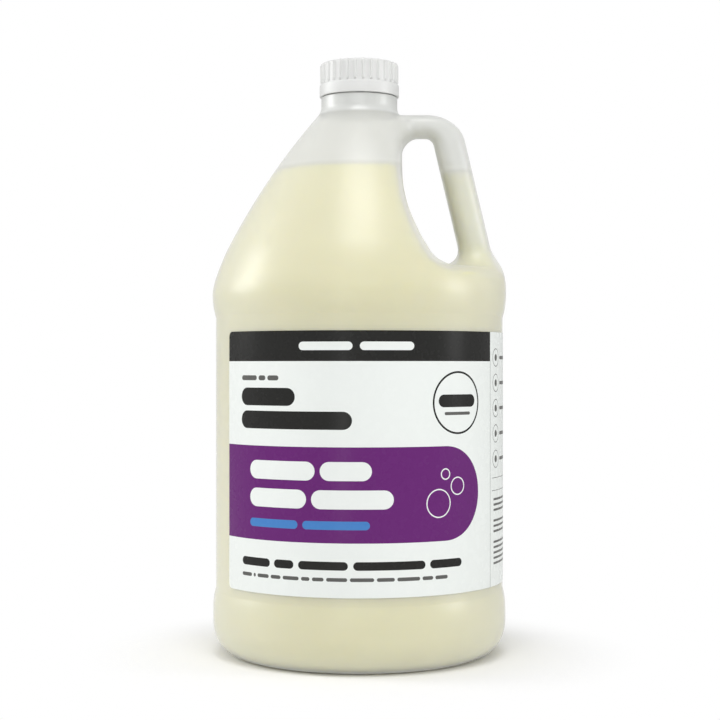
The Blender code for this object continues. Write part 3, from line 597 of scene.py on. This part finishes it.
def handle_zone():
    """Outer points, faces and the two border loops of the fine mesh of the handle zone."""
    bm = handle_cage()
    points = np.array([vert.co for vert in bm.verts])
    edges = np.array([[vert.index for vert in edge.verts] for edge in bm.edges])
    faces = [[vert.index for vert in face.verts] for face in bm.faces]
    fixed = np.array([any(edge.is_boundary for edge in vert.link_edges) for vert in bm.verts])
    bm.free()
    loops = []
    for level in (BLEND_BOTTOM, BLEND_TOP):
        on_loop = np.flatnonzero(fixed & (np.abs(points[:, 2] - level) < 1e-5))
        angle = np.arctan2(points[on_loop, 1], points[on_loop, 0])
        radius = plain_radius(level)
        points[on_loop, 0] = radius * np.cos(angle)
        points[on_loop, 1] = radius * np.sin(angle)
        loops.append(on_loop[np.argsort(angle)])
    surface = np.zeros(len(points))
    points = settled(points, surface, fixed)
    for _ in range(EVENING_PASSES):
        for _ in range(EVENING_ROUNDS):
            points = evened(points, edges, fixed)
        points = settled(points, surface, fixed, rounds=3)
    points = settled(points, surface, fixed)
    reach = np.hypot(points[:, 0], points[:, 1])
    points[:, :2] *= np.minimum(SHOULDER_RING_RADIUS / reach, 1)[:, None]
    return points, faces, loops, fixed


# Turned outline below the handle zone


def ring_arc(ring_radius, middle, low, high):
    heights = np.linspace(low, high, RING_STEPS + 1)
    radii = ring_radius - RING_ROUND + np.sqrt(RING_ROUND**2 - (heights - middle) ** 2)
    return list(zip(radii, heights))


def outline():
    """Radius and height from the middle of the base up to the handle zone."""
    inner = FOOT_RADIUS - FOOT_WIDTH
    raised = inner - PUSH_UP_SLOPE
    points = [(0, PUSH_UP), (0.5 * inner, PUSH_UP)]
    points += [(raised - FOOT_EDGE, PUSH_UP), (raised, PUSH_UP - FOOT_EDGE)]
    points += [(inner - FOOT_EDGE, FOOT_EDGE), (inner, 0)]
    for step in range(HEEL_STEPS + 1):
        turn = step / HEEL_STEPS * math.pi / 2
        reach = (BASE_RING_RADIUS - FOOT_RADIUS) * math.sin(turn)
        points.append((FOOT_RADIUS + reach, HEEL_HEIGHT * (1 - math.cos(turn))))
    points += ring_arc(BASE_RING_RADIUS, BASE_RING_Z, BASE_RING_Z, PANEL_BOTTOM)
    points += ring_arc(SHOULDER_RING_RADIUS, SHOULDER_RING_Z, PANEL_TOP, BLEND_BOTTOM)
    return np.array(points)


def inset(points, depth):
    """The outline moved inward by an even depth, square to each of its runs."""
    beyond = 2 * points[-1] - points[-2]
    run = np.diff(np.vstack([points, beyond]), axis=0)
    inward = np.column_stack([-run[:, 1], run[:, 0]]) / np.linalg.norm(run, axis=1)[:, None]
    before = np.vstack([inward[:1], inward[:-1]])
    mitre = (before + inward) / (1 + (before * inward).sum(axis=1))[:, None]
    moved = points + depth * mitre
    moved[0, 0] = 0
    return moved


def add_skin(bm, zone, extra):
    """One closed-bottomed skin of the jug, at the wall's depth plus extra, or outside where extra is None.

    It returns the skin's top loop and the angles of its columns.
    """
    outer, faces, loops, fixed = zone
    points = outer
    turned = outline()
    if extra is not None:
        turned = inset(turned, WALL + extra)
        points = outer.copy()
        low, high = loops
        shrink = np.ones(len(outer))
        shrink[low] = turned[-1, 0] / plain_radius(BLEND_BOTTOM)
        shrink[high] = (COLLAR_RADIUS - NECK_WALL - extra) / COLLAR_RADIUS
        points[:, :2] *= shrink[:, None]
        points[low, 2] = turned[-1, 1]
        points = settled(points, wall_depth(outer) + extra, fixed)
    verts = [bm.verts.new(point) for point in points]
    for face in faces:
        bm.faces.new([verts[index] for index in face])
    low_loop = [verts[index] for index in loops[0]]
    angles = [math.atan2(vert.co.y, vert.co.x) for vert in low_loop]
    rings = [add_ring(bm, radius, z, angles) for radius, z in turned[1:-1]]
    bridge_all(bm, rings + [low_loop])
    bm.faces.new(rings[0])
    return [verts[index] for index in loops[1]], angles


# Screw threads


def thread_height(angles, z, low_z, turns):
    """Share of the thread's full height at each angle of one level, for a helix with ends that fade away."""
    fade = 1 / 12
    flank = (THREAD_FOOT - THREAD_CREST) / 2
    height = np.zeros(len(angles))
    for whole in range(math.ceil(turns) + 1):
        along = np.mod(angles, 2 * math.pi) / (2 * math.pi) + whole
        end = np.clip(np.minimum(along, turns - along) / fade, 0, 1)
        off = np.abs(z - low_z - THREAD_PITCH * along)
        height = np.maximum(height, smooth_step((THREAD_FOOT / 2 - off) / flank) * end)
    return height


def thread_low():
    """Height of the lower end of the neck thread's centre line."""
    return NECK_TOP - THREAD_DROP - THREAD_TURNS * THREAD_PITCH


# Pieces


def make_bottle(zone, plastic):
    """One blown shell: outside, inside, and a neck with its thread between them."""
    bm = bmesh.new()
    outer_loop, angles = add_skin(bm, zone, None)
    inner_loop, _ = add_skin(bm, zone, 0)
    rings = [outer_loop]
    for radius, z in corner_arc(COLLAR_RADIUS - NECK_EDGE, COLLAR_TOP - NECK_EDGE, NECK_EDGE, 0):
        rings.append(add_ring(bm, radius, z, angles))
    for z in np.linspace(COLLAR_TOP, NECK_TOP - NECK_EDGE, NECK_STEPS):
        height = thread_height(np.array(angles), z, thread_low(), THREAD_TURNS)
        rings.append(add_ring(bm, FINISH_RADIUS + THREAD_DEPTH * height, z, angles))
    rim = corner_arc(FINISH_RADIUS - NECK_EDGE, NECK_TOP - NECK_EDGE, NECK_EDGE, 0)[1:]
    rim += corner_arc(BORE_RADIUS + NECK_EDGE, NECK_TOP - NECK_EDGE, NECK_EDGE, math.pi / 2)
    rim.append((BORE_RADIUS, COLLAR_TOP - NECK_WALL))
    rings += [add_ring(bm, radius, z, angles) for radius, z in rim]
    bridge_all(bm, rings + [inner_loop])
    add_piece("bottle_shell", bm, [plastic], "bottle", "bottle")


def make_soap(zone, liquid):
    """The soap fills the jug and the lower part of the handle, and climbs a little at the walls."""
    bm = bmesh.new()
    add_skin(bm, zone, SOAP_GAP)
    everything = bm.verts[:] + bm.edges[:] + bm.faces[:]
    level = Vector((0, 0, FILL_HEIGHT))
    bmesh.ops.bisect_plane(bm, geom=everything, plane_co=level, plane_no=(0, 0, 1), clear_outer=True)
    rim = [edge for edge in bm.edges if edge.is_boundary]
    tops = bmesh.ops.edgeloop_fill(bm, edges=rim)["faces"]
    bmesh.ops.recalc_face_normals(bm, faces=bm.faces[:])
    bmesh.ops.inset_region(
        bm, faces=tops, thickness=MENISCUS_REACH, depth=-MENISCUS_HEIGHT, use_even_offset=True
    )
    add_piece("soap_fill", bm, [liquid], "soap", "bottle", smooth_angle=75)


def rib_height(angles):
    """Share of a rib's full height at each angle: slim round-shouldered ribs with wider grooves between."""
    pitch = 2 * math.pi / CAP_RIB_COUNT
    off = np.abs(np.mod(angles + pitch / 2, pitch) - pitch / 2) / pitch
    return smooth_step((CAP_RIB_SHARE / 2 + CAP_RIB_SHOULDER / 2 - off) / CAP_RIB_SHOULDER)


def make_cap(plastic):
    """A screw cap with a plain band round its skirt, ribs above it and a thread inside."""
    count = CAP_RIB_COUNT * RIB_STEPS
    angles = np.arange(count) * 2 * math.pi / count
    groove = CAP_RIB_RADIUS - CAP_RIB_DEPTH
    ribs = rib_height(angles)
    bm = bmesh.new()
    low = thread_low() - THREAD_PITCH / 2
    rings = []
    for z in np.linspace(CAP_CEILING, CAP_BOTTOM + CAP_EDGE, NECK_STEPS):
        height = thread_height(angles, z, low, CAP_THREAD_TURNS)
        rings.append(add_ring(bm, CAP_BORE_RADIUS - THREAD_DEPTH * height, z, angles))
    skirt = [(CAP_BORE_RADIUS + CAP_EDGE, CAP_BOTTOM)]
    skirt += corner_arc(CAP_BAND_RADIUS - CAP_EDGE, CAP_BOTTOM + CAP_EDGE, CAP_EDGE, -math.pi / 2)
    band_top = CAP_BOTTOM + CAP_BAND_HEIGHT
    skirt += corner_arc(CAP_BAND_RADIUS - CAP_EDGE, band_top, CAP_EDGE, 0)
    skirt.append((groove + CAP_EDGE / 2, band_top + CAP_EDGE))
    rings += [add_ring(bm, radius, z, angles) for radius, z in skirt]
    rib_low = band_top + CAP_STEP
    rib_top = CAP_TOP - CAP_ROUND
    for z in np.linspace(rib_low, rib_top, RIB_ROWS):
        start = smooth_step((z - rib_low) / CAP_STEP + 0.2)
        rings.append(add_ring(bm, groove + CAP_RIB_DEPTH * ribs * start, z, angles))
    for radius, z in corner_arc(groove - CAP_ROUND, rib_top, CAP_ROUND, 0)[1:]:
        share = (radius - groove + CAP_ROUND) / CAP_ROUND
        rings.append(add_ring(bm, radius + CAP_RIB_DEPTH * ribs * share, z, angles))
    inner = groove - 3 * CAP_ROUND
    rings += [add_ring(bm, radius, CAP_TOP, angles) for radius in (inner, inner / 2)]
    bridge_all(bm, rings)
    bm.faces.new(rings[0])
    bm.faces.new(rings[-1])
    add_piece("screw_cap", bm, [plastic], "cap", "cap")


def make_liner(foam):
    """A foam disc with soft edges that seals the neck's rim."""
    angles = np.arange(LINER_STEPS) * 2 * math.pi / LINER_STEPS
    radius = CAP_BORE_RADIUS - CLEARANCE - LINER_EDGE
    top = LINER_BOTTOM + LINER_THICKNESS
    bm = bmesh.new()
    side = corner_arc(radius, LINER_BOTTOM + LINER_EDGE, LINER_EDGE, -math.pi / 2)
    side += corner_arc(radius, top - LINER_EDGE, LINER_EDGE, 0)
    path = [(radius / 2, LINER_BOTTOM), *side, (radius / 2, top)]
    rings = [add_ring(bm, reach, z, angles) for reach, z in path]
    bridge_all(bm, rings)
    bm.faces.new(rings[0])
    bm.faces.new(rings[-1])
    add_piece("cap_liner_disc", bm, [foam], "cap_liner", "liner")


# Label artwork, drawn flat and wrapped round the panel


def arc_outline(centre, radius, start, end, steps):
    angles = [start + (end - start) * step / steps for step in range(steps + 1)]
    return [(centre[0] + radius * math.cos(angle), centre[1] + radius * math.sin(angle)) for angle in angles]


def circle_outline(centre, radius, steps=64):
    return arc_outline(centre, radius, 0, 2 * math.pi, steps)[:-1]


def box_outline(left, bottom, right, top):
    return [(left, bottom), (right, bottom), (right, top), (left, top)]


def pill_outline(left, bottom, right, top, share=0.5):
    """A bar with round ends, or round corners where share is under a half of its height."""
    radius = min(share * (top - bottom), (right - left) / 2)
    steps = 6
    corners = [(right - radius, bottom + radius), (right - radius, top - radius)]
    corners += [(left + radius, top - radius), (left + radius, bottom + radius)]
    points = []
    for turn, centre in enumerate(corners):
        start = (turn - 1) * math.pi / 2
        points += arc_outline(centre, radius, start, start + math.pi / 2, steps)
    return points


def left_corner(height, start, end):
    """A round corner at the label's left end, with its centre at the height."""
    return arc_outline((LABEL_LEFT + LABEL_CORNER, height), LABEL_CORNER, start, end, CORNER_STEPS)


def top_left_corner():
    return left_corner(LABEL_HEIGHT - LABEL_CORNER, 0.5 * math.pi, math.pi)


def sheet_outline():
    """The label's own outline, with its two left corners rounded."""
    low = left_corner(LABEL_CORNER, math.pi, 1.5 * math.pi)
    return low + [(LABEL_RIGHT, 0), (LABEL_RIGHT, LABEL_HEIGHT)] + top_left_corner()


def band_outline():
    """The dark band along the top edge of the front panel."""
    low = LABEL_HEIGHT - BAND_HEIGHT
    return [(LABEL_LEFT, low), (LABEL_SEAM, low), (LABEL_SEAM, LABEL_HEIGHT), *top_left_corner()]


def front_place(across, up):
    """A place on the front panel, as shares of its width and height."""
    return LABEL_LEFT + across * (LABEL_SEAM - LABEL_LEFT), up * LABEL_HEIGHT


def word_row(left, right, bottom, top, words, ink, gap=0.016):
    """A row of bars with round ends, with the share of the row that each takes up."""
    start, low = front_place(left, bottom)
    end, high = front_place(right, top)
    space = gap * (LABEL_SEAM - LABEL_LEFT)
    unit = (end - start - space * (len(words) - 1)) / sum(words)
    marks = []
    for word in words:
        marks.append((pill_outline(start, low, start + unit * word, high), ink))
        start += unit * word + space
    return marks


def block_outline():
    """The coloured block starts at the label's left edge and ends in a half circle."""
    right, top = front_place(0.923, 0.563)
    bottom = front_place(0, 0.204)[1]
    radius = (top - bottom) / 2
    bow = arc_outline((right - radius, bottom + radius), radius, -0.5 * math.pi, 0.5 * math.pi, 48)
    return [(LABEL_LEFT, bottom), *bow, (LABEL_LEFT, top)]


def outlined(centre, radius, stroke, ink, inside):
    return [(circle_outline(centre, radius), ink), (circle_outline(centre, radius - stroke), inside)]


def ring_marks():
    """A thin ring with a bold and a fine bar inside it."""
    x, y = front_place(0.827, 0.727)
    marks = outlined((x, y), RING_RADIUS, RING_STROKE, INK, PAPER)
    for half, low, high, ink in ((0.78, -0.14, 0.26, INK), (0.55, -0.39, -0.29, GREY)):
        reach = half * RING_RADIUS
        bar = pill_outline(x - reach, y + low * RING_RADIUS, x + reach, y + high * RING_RADIUS)
        marks.append((bar, ink))
    return marks


def bubble_marks():
    """Three bubbles drawn in line on the coloured block."""
    marks = []
    for across, up, share in ((0.752, 0.347, 0.055), (0.825, 0.410, 0.035), (0.777, 0.457, 0.022)):
        marks += outlined(front_place(across, up), share * LABEL_HEIGHT, LINE_STROKE, PAPER, BLOCK)
    return marks


def side_panel_marks():
    """Plain marks on the side panel: small rings with dots beside bars, two rules, and short lines."""
    width = LABEL_RIGHT - LABEL_SEAM
    marks = []
    for row in range(5):
        centre = (LABEL_SEAM + 0.07 * width, (0.90 - 0.1 * row) * LABEL_HEIGHT)
        marks += outlined(centre, 0.036 * LABEL_HEIGHT, DOT_STROKE, GREY, PAPER)
        marks.append((circle_outline(centre, 0.014 * LABEL_HEIGHT, 24), GREY))
        left = LABEL_SEAM + 0.13 * width
        low = (0.893 - 0.1 * row) * LABEL_HEIGHT
        high = low + 0.014 * LABEL_HEIGHT
        marks.append((pill_outline(left, low, left + (0.16 + 0.03 * (row % 3)) * width, high), GREY))
    for up in (0.375, 0.425):
        low = up * LABEL_HEIGHT
        left, right = LABEL_SEAM + 0.02 * width, LABEL_RIGHT - 0.03 * width
        marks.append((box_outline(left, low, right, low + RULE_STROKE), GREY))
    for row in range(13):
        if row not in (5, 9):
            low = (0.085 + 0.021 * row) * LABEL_HEIGHT
            high = low + 0.009 * LABEL_HEIGHT
            right = LABEL_RIGHT - (0.05 + 0.04 * (row * 3 % 5)) * width
            marks.append((box_outline(LABEL_SEAM + 0.04 * width, low, right, high), GREY))
    return marks


def seam_mark():
    """A hairline where the front panel ends."""
    return box_outline(LABEL_SEAM, 0, LABEL_SEAM + RULE_STROKE, LABEL_HEIGHT - BAND_HEIGHT), GREY


def artwork():
    """Closed outlines and the ink of each, painted one over another."""
    shapes = [(sheet_outline(), PAPER), (band_outline(), INK), (block_outline(), BLOCK), seam_mark()]
    shapes += word_row(0.308, 0.667, 0.926, 0.958, (6, 6), PAPER, gap=0.022)
    shapes += word_row(0.080, 0.237, 0.812, 0.831, (5, 2, 3), GREY, gap=0.008)
    shapes += word_row(0.078, 0.295, 0.716, 0.784, (1,), INK)
    shapes += word_row(0.078, 0.475, 0.628, 0.696, (1,), INK)
    shapes += word_row(0.121, 0.535, 0.437, 0.508, (6, 4), PAPER)
    shapes += word_row(0.121, 0.602, 0.331, 0.402, (5, 6), PAPER)
    shapes += word_row(0.121, 0.529, 0.254, 0.286, (7, 8), ACCENT)
    shapes += word_row(0.083, 0.842, 0.103, 0.135, (7, 4, 9, 13, 7), INK)
    shapes += word_row(0.083, 0.785, 0.061, 0.075, (5, 1, 5, 4, 6, 3, 4, 7, 8, 6, 8, 4, 5), GREY, gap=0.008)
    return shapes + ring_marks() + bubble_marks() + side_panel_marks()


def flat_artwork(shapes):
    """Triangles of the flat label and the ink of each, cut along columns that bend round the panel."""
    points, edges, outlines = [], [], []
    for outline_points, _ in shapes:
        outlines.append(list(range(len(points), len(points) + len(outline_points))))
        points += outline_points
    count = math.ceil((LABEL_RIGHT - LABEL_LEFT) / LABEL_COLUMN)
    for column in range(1, count):
        along = LABEL_LEFT + (LABEL_RIGHT - LABEL_LEFT) * column / count
        edges.append((len(points), len(points) + 1))
        points += [(along, 0), (along, LABEL_HEIGHT)]
    cut = geometry.delaunay_2d_cdt([Vector(point) for point in points], edges, outlines, 1, 1e-6)
    flat, faces, sources = cut[0], cut[2], cut[5]
    return flat, faces, [shapes[max(source)][1] for source in sources]


def make_label(inks):
    """A film label round the front and one side of the panel, with its print as coloured fields."""
    flat, faces, face_inks = flat_artwork(artwork())
    inner = PANEL_RADIUS + LABEL_GAP
    bm = bmesh.new()
    layers = []
    for radius in (inner + LABEL_THICKNESS, inner):
        layer = []
        for along, height in flat:
            angle = along / inner
            x, y = radius * math.sin(angle), -radius * math.cos(angle)
            layer.append(bm.verts.new((x, y, LABEL_BOTTOM + height)))
        layers.append(layer)
    front, back = layers
    for face, ink in zip(faces, face_inks):
        bm.faces.new([front[index] for index in face]).material_index = ink
        bm.faces.new([back[index] for index in reversed(face)])
    partner = dict(zip(front, back))
    for edge in [edge for edge in bm.edges if edge.is_boundary and edge.verts[0] in partner]:
        here, there = edge.verts
        bm.faces.new([here, there, partner[there], partner[here]])
    add_piece("wrap_label", bm, inks, "label", "bottle")


# Materials


class Shader:
    """A node material that is built up link by link."""

    def __init__(self, name):
        self.material = bpy.data.materials.new(name)
        self.material.use_nodes = True
        self.tree = self.material.node_tree
        self.tree.nodes.clear()
        self.output = self.tree.nodes.new("ShaderNodeOutputMaterial")
        self.place = self.tree.nodes.new("ShaderNodeTexCoord").outputs["Object"]

    def feed(self, value, socket):
        """An input takes another node's output, or a plain number or colour."""
        if isinstance(value, bpy.types.NodeSocket):
            self.tree.links.new(value, socket)
        else:
            socket.default_value = (*value, 1) if socket.type == "RGBA" else value

    def outputs(self, kind, values, **settings):
        """Outputs of a new node, whose inputs are given by their names or places."""
        node = self.tree.nodes.new(kind)
        for key, value in settings.items():
            setattr(node, key, value)
        for key, value in values.items():
            self.feed(value, node.inputs[key])
        return node.outputs

    def math(self, operation, *values):
        return self.outputs("ShaderNodeMath", dict(enumerate(values)), operation=operation)[0]

    def axes(self):
        return self.outputs("ShaderNodeSeparateXYZ", {"Vector": self.place})

    def noise(self, scale, detail=2.0):
        values = {"Scale": scale, "Detail": detail, "Vector": self.place}
        return self.outputs("ShaderNodeTexNoise", values)["Fac"]

    def spread(self, value, low, high, start=0.0, end=1.0, curve="LINEAR"):
        """Low to high as the value goes from start to end."""
        values = {"Value": value, "From Min": start, "From Max": end, "To Min": low, "To Max": high}
        return self.outputs("ShaderNodeMapRange", values, interpolation_type=curve)["Result"]

    def rise(self, value, start, end):
        """A smooth step from nothing at start to one at end."""
        return self.spread(value, 0, 1, start, end, "SMOOTHSTEP")

    def blend(self, factor, first, second):
        """The first colour passing into the second."""
        values = {"Factor": factor, "A": first, "B": second}
        return self.outputs("ShaderNodeMix", values, data_type="RGBA")["Result"]

    def bump(self, height, distance, strength, before=None):
        values = {"Height": height, "Distance": distance, "Strength": strength}
        if before is not None:
            values["Normal"] = before
        return self.outputs("ShaderNodeBump", values)["Normal"]

    def principled(self, colour, roughness, normal, **others):
        values = {"Base Color": colour, "Roughness": roughness, "Normal": normal}
        values.update({name.replace("_", " "): value for name, value in others.items()})
        return self.outputs("ShaderNodeBsdfPrincipled", values)["BSDF"]

    def mix(self, factor, first, second):
        """The first shader where the factor is nothing, and the second where it is one."""
        return self.outputs("ShaderNodeMixShader", {0: factor, 1: first, 2: second})["Shader"]

    def see_through(self, cover, tint, body):
        """The body where cover is one, and clear with a tint where it is nothing."""
        clear = self.outputs("ShaderNodeBsdfTransparent", {"Color": tint})["BSDF"]
        return self.mix(cover, clear, body)

    def finish(self, shader):
        self.feed(shader, self.output.inputs["Surface"])
        return self.material


def parting_line(shader):
    """A fine raised line where the two mould halves met, in the plane of the handle."""
    off = shader.math("ABSOLUTE", shader.axes()["Y"])
    return shader.spread(off, 1, 0, 0, PARTING_HALF_WIDTH, "SMOOTHSTEP")


def handle_light_share(shader):
    """One in the handle, fading to nothing at its roots: it carries the soap's paler handle colour, which is
    partly painted light.
    """
    place = shader.axes()
    out = shader.rise(place["X"], POCKET_FACE_X, HANDLE_BEND_X)
    up = shader.rise(place["Z"], BREAK_Z, BREAK_Z + HANDLE_FADE)
    return shader.math("MULTIPLY", out, up)


def natural_plastic():
    """Milky polyethylene: satin, faintly wavy, and see-through enough to show the soap."""
    shader = Shader("natural_plastic")
    normal = shader.bump(shader.noise(55, detail=1), 0.0006, 0.35)
    normal = shader.bump(shader.noise(1400), 0.00002, 0.4, before=normal)
    normal = shader.bump(parting_line(shader), 0.00015, 0.8, before=normal)
    height = shader.axes()["Z"]
    collar = shader.rise(height, CONE_TOP, CONE_TOP + COLLAR_HEIGHT / 4)
    thin = shader.blend(shader.noise(30), (0.79, 0.80, 0.78), (0.84, 0.85, 0.83))
    colour = shader.blend(collar, thin, (0.60, 0.61, 0.59))
    roughness = shader.spread(shader.noise(120), 0.30, 0.38)
    body = shader.principled(colour, roughness, normal, IOR=1.5, Specular_IOR_Level=1.0)
    edge = shader.outputs("ShaderNodeLayerWeight", {"Blend": 0.25})["Facing"]
    empty = shader.rise(height, FILL_HEIGHT, FILL_HEIGHT + SOAP_EDGE_FADE)
    cover = shader.spread(shader.noise(40), 0.31, 0.33)
    for share, amount in ((edge, 0.32), (collar, 0.5), (empty, 0.12)):
        cover = shader.math("MULTIPLY_ADD", share, amount, cover)
    return shader.finish(shader.see_through(cover, (0.985, 0.985, 0.98), body))


def soap_gel():
    """Pale yellow gel that scatters light softly. In the thin column inside the handle it is paler, partly from
    the thin gel and partly as painted light shining through it.
    """
    shader = Shader("soap_gel")
    deep = shader.blend(shader.noise(18), (0.98, 0.86, 0.24), (0.99, 0.87, 0.27))
    # Paler, lighter gel in the handle: partly thin gel, partly painted light that stands in for light shining
    # through the column
    colour = shader.blend(handle_light_share(shader), deep, (0.995, 0.97, 0.70))
    roughness = shader.spread(shader.noise(60), 0.30, 0.40)
    normal = shader.bump(shader.noise(35, detail=1), 0.0004, 0.2)
    scatter = {"Subsurface_Weight": 0.8, "Subsurface_Radius": (0.012, 0.011, 0.006), "Subsurface_Scale": 1.0}
    return shader.finish(shader.principled(colour, roughness, normal, **scatter))


def white_plastic():
    """Satin injection-moulded white plastic."""
    shader = Shader("white_plastic")
    colour = shader.blend(shader.noise(60), (0.66, 0.665, 0.655), (0.69, 0.695, 0.685))
    roughness = shader.spread(shader.noise(300), 0.34, 0.44)
    normal = shader.bump(shader.noise(2200), 0.00002, 0.5)
    return shader.finish(shader.principled(colour, roughness, normal))


def white_foam():
    """Pressed foam sheet with fine closed pores."""
    shader = Shader("white_foam")
    pores = shader.noise(3500, detail=3)
    colour = shader.blend(pores, (0.72, 0.72, 0.70), (0.80, 0.80, 0.78))
    return shader.finish(shader.principled(colour, 0.85, shader.bump(pores, 0.00005, 0.7)))


def label_film(name, low, high):
    """Printed film: a smooth coat over a faint paper grain, in one ink."""
    shader = Shader(name)
    grain = shader.noise(900, detail=3)
    colour = shader.blend(grain, low, high)
    roughness = shader.spread(shader.noise(200), 0.23, 0.31)
    normal = shader.bump(shader.noise(25, detail=0), 0.0002, 0.10)
    normal = shader.bump(grain, 0.000004, 0.2, before=normal)
    return shader.finish(shader.principled(colour, roughness, normal, Specular_IOR_Level=0.08))


def label_inks():
    return [
        label_film("label_paper", (0.765, 0.795, 0.775), (0.78, 0.81, 0.79)),
        label_film("label_ink", (0.020, 0.020, 0.019), (0.026, 0.026, 0.025)),
        label_film("label_purple", (0.120, 0.020, 0.148), (0.135, 0.024, 0.165)),
        label_film("label_blue", (0.060, 0.200, 0.500), (0.070, 0.220, 0.530)),
        label_film("label_grey", (0.100, 0.100, 0.095), (0.120, 0.120, 0.115)),
    ]


# Stage, camera and light


def make_floor():
    """A white floor that keeps the jug's shadow and is plain white further out."""
    bm = bmesh.new()
    bmesh.ops.create_circle(bm, cap_ends=True, segments=96, radius=FLOOR_RADIUS)
    mesh = bpy.data.meshes.new("floor")
    bm.to_mesh(mesh)
    bm.free()
    shader = Shader("floor_white")
    diffuse = shader.outputs("ShaderNodeBsdfDiffuse", {"Color": (0.90, 0.90, 0.89)})["BSDF"]
    plain = shader.outputs("ShaderNodeEmission", {"Strength": 1.0})["Emission"]
    seen = shader.outputs("ShaderNodeLightPath", {})["Is Camera Ray"]
    length = shader.outputs("ShaderNodeVectorMath", {0: shader.place}, operation="LENGTH")["Value"]
    far = shader.math("MULTIPLY", shader.rise(length, SHADOW_REACH, WHITE_REACH), seen)
    mesh.materials.append(shader.finish(shader.mix(far, diffuse, plain)))
    floor = bpy.data.objects.new("floor", mesh)
    bpy.context.scene.collection.objects.link(floor)


def make_world():
    """Even white surroundings, plain white where the camera sees them."""
    world = bpy.data.worlds.new("studio")
    bpy.context.scene.world = world
    world.use_nodes = True
    tree = world.node_tree
    tree.nodes.clear()
    background = tree.nodes.new("ShaderNodeBackground")
    background.inputs["Color"].default_value = (1, 1, 1, 1)
    path = tree.nodes.new("ShaderNodeLightPath")
    seen = tree.nodes.new("ShaderNodeMath")
    seen.operation = "MAXIMUM"
    level = tree.nodes.new("ShaderNodeMapRange")
    output = tree.nodes.new("ShaderNodeOutputWorld")
    tree.links.new(path.outputs["Is Camera Ray"], seen.inputs[0])
    tree.links.new(path.outputs["Is Transmission Ray"], seen.inputs[1])
    tree.links.new(seen.outputs[0], level.inputs["Value"])
    level.inputs["To Min"].default_value = WORLD_LEVEL
    level.inputs["To Max"].default_value = 1
    tree.links.new(level.outputs["Result"], background.inputs["Strength"])
    tree.links.new(background.outputs["Background"], output.inputs["Surface"])


def add_softbox(name, azimuth, elevation, width, height, power):
    """A softbox at a bearing from the front, which looks at the middle of the jug."""
    middle = Vector((0, 0, 0.5 * CAP_TOP))
    bearing = math.radians(azimuth)
    rise = math.radians(elevation)
    way = Vector((math.sin(bearing) * math.cos(rise), -math.cos(bearing) * math.cos(rise), math.sin(rise)))
    light = bpy.data.lights.new(name, "AREA")
    light.shape = "RECTANGLE"
    light.size = width
    light.size_y = height
    light.energy = power
    obj = bpy.data.objects.new(name, light)
    obj.location = middle + SOFTBOX_DISTANCE * way
    obj.rotation_euler = way.to_track_quat("Z", "Y").to_euler()
    obj.visible_camera = False
    bpy.context.scene.collection.objects.link(obj)


def make_camera():
    """A level camera in front of the jug, at the photograph's distance and height."""
    camera = bpy.data.cameras.new("camera")
    camera.sensor_width = SENSOR_WIDTH
    camera.lens = FOCAL_LENGTH * SENSOR_WIDTH / FRAME_SIZE
    camera.shift_x = (FRAME_SIZE / 2 - AXIS_X) / FRAME_SIZE
    camera.shift_y = (HORIZON_Y - FRAME_SIZE / 2) / FRAME_SIZE
    obj = bpy.data.objects.new("camera", camera)
    obj.location = (0, -CAMERA_DISTANCE, CAMERA_HEIGHT)
    obj.rotation_euler = (math.pi / 2, 0, 0)
    bpy.context.scene.collection.objects.link(obj)
    bpy.context.scene.camera = obj


def clear_scene():
    for obj in list(bpy.data.objects):
        bpy.data.objects.remove(obj, do_unlink=True)


def main():
    clear_scene()
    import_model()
    zone = handle_zone()
    make_bottle(zone, natural_plastic())
    make_soap(zone, soap_gel())
    make_cap(white_plastic())
    make_liner(white_foam())
    make_label(label_inks())
    make_floor()
    make_world()
    for name, values in SOFTBOXES.items():
        add_softbox(name, *values)
    make_camera()
    bpy.context.scene.view_settings.view_transform = "Standard"


main()
